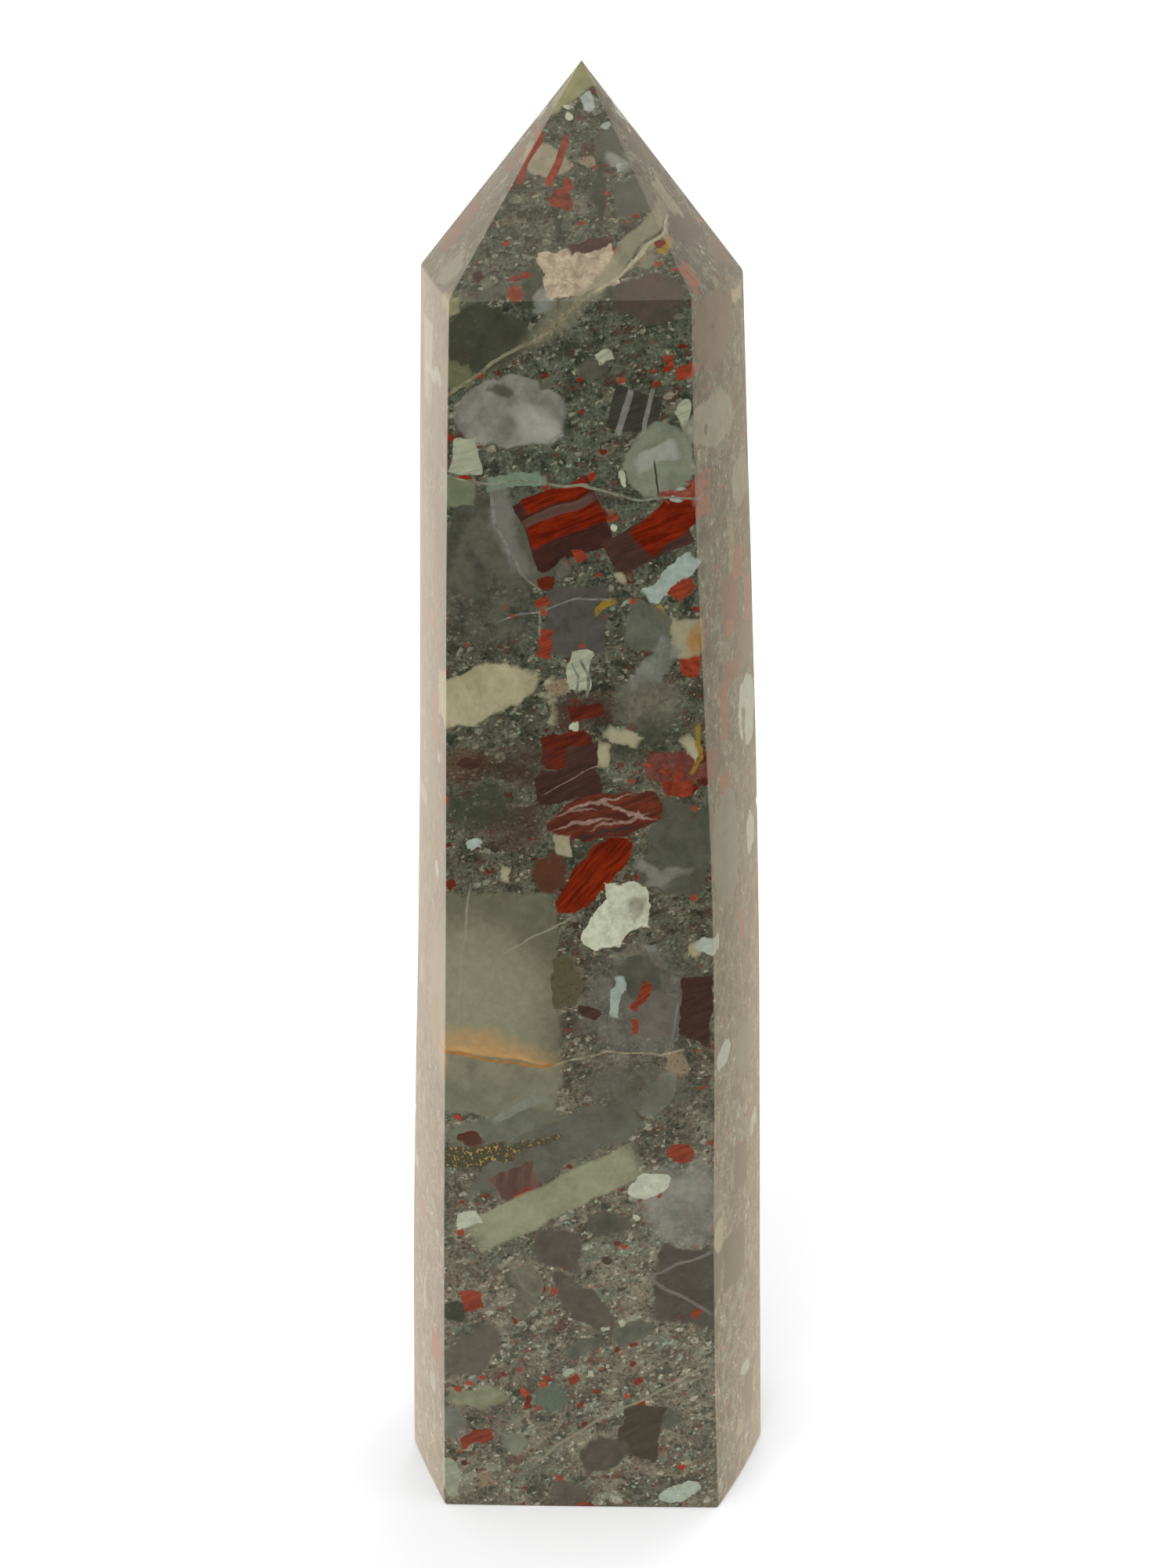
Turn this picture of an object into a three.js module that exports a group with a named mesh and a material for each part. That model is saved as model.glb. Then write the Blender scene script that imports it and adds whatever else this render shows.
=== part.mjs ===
// A polished stone tower: one solid piece of brecciated jasper and agate, cut to six sides that lean in
// a little towards the top, under a six-sided point. Millimetres, +Z up, the broad front side towards -Y.
// The origin is under the middle of the tower, on the surface that it stands on.

import * as THREE from 'three';

// Driving dimensions
const HEIGHT = 250; // floor to apex
const APEX_OFFSET = -1.1; // the apex is a little left of the middle
const EDGE_SETBACK = 0.35; // how far the softened edges start from each sharp corner
const SHOULDER_SOFTENING = 0.5; // the same, above and below the shoulder
const BASE_BEVEL = 0.5; // rounding where the sides meet the underside
const TIP_BLUNTING = 0.012; // the share of the point's edges that the worn tip takes

// Mesh fineness
const BODY_STEPS = 18;
const POINT_STEPS = 7;
const SOFTENING_STEPS = 4;
const CORNER_STEPS = 3;
const FACE_STEPS = 5;

// The six upright edges, anticlockwise from above starting at the left. base and shoulder are where the
// edge would meet the underside and the point if nothing were softened, and bow is how far hand grinding
// leaves it sideways of a straight line, as the heights of three sine waves of one, two and three humps.
// belly is how far the side between this edge and the next stands out at its middle.
const EDGES = [
  {
    name: 'left',
    base: [-31.25, -1.8],
    shoulder: [-28.4, 0.0, 215.2],
    bow: [0.04, -0.22, -0.18],
    belly: 0.2,
  },
  {
    name: 'front left',
    base: [-25.1, -29.5],
    shoulder: [-22.9, -28.2, 215.0],
    bow: [-0.3, 0.0, -0.09],
    belly: 0.25,
  },
  {
    name: 'front right',
    base: [22.7, -30.9],
    shoulder: [17.0, -26.7, 215.1],
    bow: [0.87, 0.08, -0.44],
    belly: 0.5,
  },
  {
    name: 'right',
    base: [31.25, 1.8],
    shoulder: [26.3, 0.0, 214.2],
    bow: [0.97, -0.04, -0.1],
    belly: 0.3,
  },
  {
    name: 'back right',
    base: [23.8, 30.2],
    shoulder: [18.6, 27.0, 214.6],
    bow: [0.5, 0.1, 0.0],
    belly: 0.3,
  },
  {
    name: 'back left',
    base: [-24.0, 30.9],
    shoulder: [-21.6, 27.7, 215.3],
    bow: [-0.3, -0.1, 0.0],
    belly: 0.3,
  },
];

const lerp = THREE.MathUtils.lerp;

// How far an upright edge bows sideways, at a share t of the way from its foot to the shoulder.
function bowAt(edge, t) {
  return edge.bow.reduce((sum, height, k) => sum + height * Math.sin((k + 1) * Math.PI * t), 0);
}

// A point on an upright edge, at a share t of the way from its foot to the shoulder.
function bodyPoint(edge, t) {
  const [footX, footY] = edge.base;
  const [topX, topY, topZ] = edge.shoulder;
  return new THREE.Vector3(lerp(footX, topX, t) + bowAt(edge, t), lerp(footY, topY, t), topZ * t);
}

// A point on a sloping edge, at a share s of the way from the shoulder to the apex.
function pointPoint(edge, s) {
  const apex = new THREE.Vector3(APEX_OFFSET, 0, HEIGHT);
  return new THREE.Vector3(...edge.shoulder).lerp(apex, s);
}

// A point on the quadratic curve from start to end that heads for the corner.
function softCorner(start, corner, end, u) {
  const first = start.clone().lerp(corner, u);
  const second = corner.clone().lerp(end, u);
  return first.lerp(second, u);
}

// The softened turn of one edge from the body into the point.
function shoulderPoint(edge, u) {
  const shoulder = new THREE.Vector3(...edge.shoulder);
  const below = bodyPoint(edge, 1 - SHOULDER_SOFTENING / shoulder.z);
  const slope = shoulder.distanceTo(pointPoint(edge, 1));
  const above = pointPoint(edge, SHOULDER_SOFTENING / slope);
  return softCorner(below, shoulder, above, u);
}

// One closed loop round the stone through six corner points: each corner softened, each side with its
// slight belly, which shrinks by the share fullness.
function loopThrough(corners, fullness) {
  const count = corners.length;
  const turns = corners.map((corner, i) => {
    const before = corners[(i + count - 1) % count];
    const after = corners[(i + 1) % count];
    const reachBefore = Math.min(EDGE_SETBACK, corner.distanceTo(before) / 4);
    const reachAfter = Math.min(EDGE_SETBACK, corner.distanceTo(after) / 4);
    const start = corner.clone().lerp(before, reachBefore / corner.distanceTo(before));
    const end = corner.clone().lerp(after, reachAfter / corner.distanceTo(after));
    return { start, corner, end };
  });
  const loop = [];
  turns.forEach(({ start, corner, end }, i) => {
    for (let k = 0; k <= CORNER_STEPS; k += 1) {
      loop.push(softCorner(start, corner, end, k / CORNER_STEPS));
    }
    const next = turns[(i + 1) % count].start;
    const outward = new THREE.Vector3(next.y - end.y, end.x - next.x, 0).normalize();
    for (let k = 1; k < FACE_STEPS; k += 1) {
      const u = k / FACE_STEPS;
      const swell = EDGES[i].belly * fullness * 4 * u * (1 - u);
      loop.push(end.clone().lerp(next, u).addScaledVector(outward, swell));
    }
  });
  return loop;
}

// Draws a loop in towards the stone's axis by a distance, and sets it at a height.
function drawnIn(loop, inset, height) {
  return loop.map((point) => {
    const radius = Math.hypot(point.x, point.y);
    const share = 1 - inset / radius;
    return new THREE.Vector3(point.x * share, point.y * share, height);
  });
}

// The rounded bottom edge: loops on a quarter circle from the underside up to the side.
function baseLoops() {
  const foot = loopThrough(EDGES.map((edge) => bodyPoint(edge, 0)), 1);
  const loops = [];
  for (let k = 0; k < SOFTENING_STEPS; k += 1) {
    const angle = (k / SOFTENING_STEPS) * Math.PI / 2;
    loops.push(drawnIn(foot, BASE_BEVEL * (1 - Math.sin(angle)), BASE_BEVEL * (1 - Math.cos(angle))));
  }
  return loops;
}

// The long body, from above the bottom rounding to below the shoulder's softening.
function bodyLoops() {
  const loops = [];
  for (let k = 0; k < BODY_STEPS; k += 1) {
    const corners = EDGES.map((edge) => {
      const first = BASE_BEVEL / edge.shoulder[2];
      const last = 1 - SHOULDER_SOFTENING / edge.shoulder[2];
      return bodyPoint(edge, lerp(first, last, k / BODY_STEPS));
    });
    loops.push(loopThrough(corners, 1));
  }
  return loops;
}

// The softened shoulder.
function shoulderLoops() {
  const loops = [];
  for (let k = 0; k <= SOFTENING_STEPS; k += 1) {
    const u = k / SOFTENING_STEPS;
    loops.push(loopThrough(EDGES.map((edge) => shoulderPoint(edge, u)), 1));
  }
  return loops;
}

// The six-sided point, up to the blunted tip.
function pointLoops() {
  const loops = [];
  for (let k = 1; k <= POINT_STEPS; k += 1) {
    const s = (k / POINT_STEPS) * (1 - TIP_BLUNTING);
    loops.push(loopThrough(EDGES.map((edge) => pointPoint(edge, s)), 1 - s));
  }
  return loops;
}

// Joins stacked loops into one closed skin, with a flat underside and a small cap on the tip.
function skinOver(loops) {
  const size = loops[0].length;
  const positions = loops.flat().flatMap((point) => point.toArray());
  const bottomCentre = positions.length / 3;
  positions.push(0, 0, 0);
  const tip = bottomCentre + 1;
  positions.push(APEX_OFFSET, 0, HEIGHT);
  const faces = [];
  for (let row = 0; row < loops.length - 1; row += 1) {
    for (let k = 0; k < size; k += 1) {
      const next = (k + 1) % size;
      const low = row * size;
      const high = low + size;
      faces.push(low + k, low + next, high + next);
      faces.push(low + k, high + next, high + k);
    }
  }
  const lastRow = (loops.length - 1) * size;
  for (let k = 0; k < size; k += 1) {
    const next = (k + 1) % size;
    faces.push(bottomCentre, next, k);
    faces.push(tip, lastRow + k, lastRow + next);
  }
  const geometry = new THREE.BufferGeometry();
  geometry.setAttribute('position', new THREE.Float32BufferAttribute(positions, 3));
  geometry.setIndex(faces);
  return geometry;
}

// Centres the plan on the origin, with the underside at zero height.
function centrePlan(geometry) {
  geometry.computeBoundingBox();
  const middle = geometry.boundingBox.getCenter(new THREE.Vector3());
  geometry.translate(-middle.x, -middle.y, 0);
  geometry.computeVertexNormals();
  return geometry;
}

// Dark grey-green polished stone, the average of its many fragments.
function stoneMaterial() {
  return new THREE.MeshStandardMaterial({ color: 0x6a6b5d, roughness: 0.12, metalness: 0 });
}

function obelisk() {
  const loops = [...baseLoops(), ...bodyLoops(), ...shoulderLoops(), ...pointLoops()];
  const stone = new THREE.Mesh(centrePlan(skinOver(loops)), stoneMaterial());
  stone.name = 'obelisk';
  return stone;
}

const group = new THREE.Group();
group.add(obelisk());

export default group;
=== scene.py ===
"""Blender scene of a six-sided agate obelisk: polished brecciated jasper and agate on a pale floor.

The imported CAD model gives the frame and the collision. This script lays a finer skin of the same shape
over it, with the polish and small nicks of the real stone, and works out the stone's pattern as a solid:
broken fragments of jasper, chert and chalcedony in a fine crumbled matrix, cut through by thin veins.
Lengths are in millimetres in the classes and become metres where meshes and lights are made.
"""

import logging
import math
from dataclasses import dataclass
from enum import Enum

import bpy
import numpy as np
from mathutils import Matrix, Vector


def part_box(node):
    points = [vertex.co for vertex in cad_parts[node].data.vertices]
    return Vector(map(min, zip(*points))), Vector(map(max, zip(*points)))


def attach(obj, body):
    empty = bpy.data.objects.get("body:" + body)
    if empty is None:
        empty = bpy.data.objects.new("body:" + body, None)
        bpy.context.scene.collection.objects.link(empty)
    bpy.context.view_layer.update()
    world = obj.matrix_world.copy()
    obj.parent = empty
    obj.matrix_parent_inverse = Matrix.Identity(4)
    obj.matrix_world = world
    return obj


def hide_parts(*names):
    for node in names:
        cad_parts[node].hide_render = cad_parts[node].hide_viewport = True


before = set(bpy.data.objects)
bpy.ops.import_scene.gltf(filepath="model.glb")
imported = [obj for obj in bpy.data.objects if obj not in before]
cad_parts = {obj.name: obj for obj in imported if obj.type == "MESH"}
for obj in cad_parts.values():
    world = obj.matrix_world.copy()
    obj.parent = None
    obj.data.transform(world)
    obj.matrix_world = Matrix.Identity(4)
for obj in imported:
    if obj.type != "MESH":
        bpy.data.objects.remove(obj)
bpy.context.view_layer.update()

MM = 0.001
LEAST_LENGTH = 1e-6
STONE_NODE = "obelisk"
LOG = logging.getLogger("obelisk")

Socket = bpy.types.NodeSocket
Colour = tuple[float, float, float, float]


# Finishes

class Figure(Enum):
    """The small-scale figure that mixes a mineral's two colours."""

    CLOUD = "soft clouding, a few millimetres across"
    MOTTLE = "mottling of about a millimetre"
    SPECKS = "sparse specks of about half a millimetre"
    UPRIGHT = "soft streaks that run up the stone"
    BEDDED = "streaks along the bedding, which rises to the right"
    STEEP = "streaks that rise steeply to the right"


class Outline(Enum):
    """How a fragment's outline runs."""

    PEBBLE = "rounded"
    BLOCK = "broken to four sides, with two corners off"
    SLAB = "broken to four sides like a block, with straighter sides"
    HAZE = "a stain with no edge, which fades out from its middle"
    VEIN = "a thin straight stretch of a vein"


CLOUD, MOTTLE, SPECKS, UPRIGHT, BEDDED, STEEP = Figure
PEBBLE, BLOCK, SLAB, HAZE, VEIN = Outline


@dataclass(frozen=True)
class Mineral:
    """One kind of fragment: its two colours as seen on the polished front, and the figure that mixes them."""

    main: str
    second: str
    figure: Figure = CLOUD


RED = Mineral("97412b", "70301f", BEDDED)
DEEP_RED = Mineral("6a2a18", "47201a", BEDDED)
ORANGE_RED = Mineral("94412a", "702c1c", MOTTLE)
MAROON = Mineral("4e352c", "3e2b25", BEDDED)
PINK_BROWN = Mineral("705246", "533c33", UPRIGHT)
MAUVE_BROWN = Mineral("51473d", "3f372f")
MAUVE_DARK = Mineral("5d564a", "4e473d")
BROWN = Mineral("4e4639", "443c30", BEDDED)
BROWN_GREY = Mineral("5a5248", "6c6458")
BLACK_GREEN = Mineral("454838", "33362b")
DARK_GREEN = Mineral("44433a", "605f50")
DARK_OLIVE = Mineral("47483a", "3a3c2e")
OLIVE = Mineral("5d573f", "4f4b37", SPECKS)
PALE_OLIVE = Mineral("7c7e62", "949678")
SMOKE = Mineral("4c4a3e", "605e50")
SMOKE_PALE = Mineral("918c78", "7a7864")
SLATE = Mineral("49463f", "56524c")
GREY_GREEN = Mineral("56584a", "6a6c5c")
SAGE = Mineral("777a66", "858872")
PALE_GREEN = Mineral("8f927a", "a8aa8e", BEDDED)
BLUE_GREY = Mineral("6e6f65", "818277")
PINK_GREY = Mineral("79735f", "56524a", MOTTLE)
LAVENDER = Mineral("77746a", "918e80")
LAVENDER_DARK = Mineral("645d53", "746c62")
CLOUD_WHITE = Mineral("a3a196", "8f8d82")
CHALCEDONY = Mineral("66634f", "6c6955")
CREAM = Mineral("aaa284", "9c9472")
SPECKLED = Mineral("c0ae92", "8f7d69", MOTTLE)
TAN = Mineral("8c7a62", "6c5c48", SPECKS)
OCHRE = Mineral("94762f", "75622f", SPECKS)
GOLD = Mineral("4a4632", "a88a48", SPECKS)
MINT = Mineral("949f93", "a8b2a6", MOTTLE)
WHITE = Mineral("b8b99e", "a4a58a", MOTTLE)
WHITE_MINT = Mineral("c2cab4", "aab49e", MOTTLE)
TEAL = Mineral("798870", "6a7a66", MOTTLE)
TEAL_DARK = Mineral("626f5e", "586452")
OLIVE_CAP = Mineral("9c9870", "85835f")
JASPER_RED = Mineral("86270f", "56180b", BEDDED)
JASPER_DARK = Mineral("4c2c28", "3a2420", BEDDED)
JASPER_GREY = Mineral("584036", "664a40", BEDDED)
JASPER_BROWN = Mineral("46281f", "38241d", BEDDED)
BANDED_RED = Mineral("6e3424", "46281f", BEDDED)
PINK_WHITE = Mineral("866a5c", "9a8272", MOTTLE)
RUST = Mineral("5c3626", "4a2f24")
CHALCEDONY_PALE = Mineral("8f8a71", "89846c")
ORANGE_STAIN = Mineral("c09660", "b08a58")
SAGE_DARK = Mineral("585549", "68665a")
GREEN_DARK = Mineral("5e5f50", "6e6f5c")
PALE_LENS = Mineral("8a8d7c", "7a7d6c", MOTTLE)
MAUVE_PALE = Mineral("5e4c3f", "6c5c50")
WHITE_SIDE = Mineral("b2b8a8", "a2a898", MOTTLE)
TAN_LINE = Mineral("948a6a", "5e5a48", MOTTLE)
CREAM_GLASS = Mineral("8e8870", "7e7a64")
CREAM_EDGE = Mineral("b0a888", "98907a", MOTTLE)
LINE_GREEN = Mineral("8f9078", "605f50", MOTTLE)
LINE_CREAM = Mineral("a89c7c", "6c6654", MOTTLE)
LINE_WHITE = Mineral("8c8a80", "605e58", MOTTLE)
LILAC_LINE = Mineral("807e74", "6c6a64")
ORANGE_LINE = Mineral("b07c40", "946a38", MOTTLE)
MAUVE_LIGHT = Mineral("7c766c", "6c675e")
RED_STRIPED = Mineral("86290f", "561a0c", STEEP)
SOOT = Mineral("45423a", "37342d", BEDDED)
SIDE_PEBBLE = Mineral("7c7b68", "898876")
SIDE_RED = Mineral("7e3424", "8e5444", MOTTLE)
SIDE_ROSE = Mineral("603028", "74483e", MOTTLE)
SAGE_SIDE = Mineral("5b6152", "6c705f")
OLIVE_SIDE = Mineral("30321f", "44452f")
LILAC_SIDE = Mineral("352c2b", "4e4442", UPRIGHT)
ORANGE_SIDE = Mineral("7c6a42", "8c7850")
GREY_CLAST = Mineral("666553", "56564a")
POINT_GREY = Mineral("4b4d41", "5c5d50")
PALE_CLAST = Mineral("93876f", "a39880")
BLOB_RED = Mineral("8c3a24", "4c2a22", MOTTLE)
SAGE_BAR = Mineral("8c8c6e", "9a9a7c")
WHITE_LOW = Mineral("c4c5ae", "aeb098", MOTTLE)
WHITE_STONE = Mineral("cccdb3", "b2b399", MOTTLE)
GREY_WEDGE = Mineral("6f6e62", "807e70")
SMOKE_DARK = Mineral("4d4d40", "58584b")
PALE_PATCH = Mineral("76725f", "605c4e", MOTTLE)
SMOKY_BROWN = Mineral("5c5548", "665f52")
MAUVE_BLOCK = Mineral("565047", "4a443c")
PALE_LINE = Mineral("a09a80", "8a8570", MOTTLE)
OLIVE_PATCH = Mineral("70704e", "5c5b40")
SAGE_PATCH = Mineral("7f8466", "6b6f56")
HAZE_OLIVE = Mineral("565442", "66645a")
LEFT_RED = Mineral("96301c", "8a3c2c", MOTTLE)
CREAM_BAR = Mineral("a39b79", "b7ae8b")
OVAL_SMOKE = Mineral("49443a", "574840")
GROUND_LILAC = Mineral("625f56", "75716a")
LEFT_BLOCK = Mineral("827f69", "6e6c58")


@dataclass(frozen=True)
class Fragment:
    """One fragment: its middle across and up, its length along and across, how far its length rises to
    the right in degrees, its mineral and its outline. It shows on the front unless its middle has a depth
    y, and then deep is how far it reaches either way in depth. A cover below 1 lets what is under it show
    through."""

    name: str
    x: float
    z: float
    along: float
    across: float
    rise: float
    mineral: Mineral
    outline: Outline = PEBBLE
    y: float | None = None
    deep: float | None = None
    cover: float = 1.0

    @property
    def reach(self) -> float:
        """How far up and down the fragment reaches from its middle."""
        rise = math.radians(self.rise)
        return (self.along * abs(math.sin(rise)) + self.across * abs(math.cos(rise))) / 2


SIDE_WIDTH = 36.0


def on_side(
    name: str, x: float, z: float, height: float, mineral: Mineral, outline: Outline, y: float, deep: float,
    cover: float = 1.0,
) -> Fragment:
    """A level fragment of a side face, wide enough to run out through the face."""
    return Fragment(name, x, z, SIDE_WIDTH, height, 0, mineral, outline, y, deep, cover)


@dataclass(frozen=True)
class Chip:
    """One small round chip: its middle across and up, its width and its mineral. It shows on the front
    unless it has a depth y."""

    x: float
    z: float
    width: float
    mineral: Mineral
    y: float | None = None

    @property
    def reach(self) -> float:
        """How far the chip reaches from its middle."""
        return self.width / 2


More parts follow.
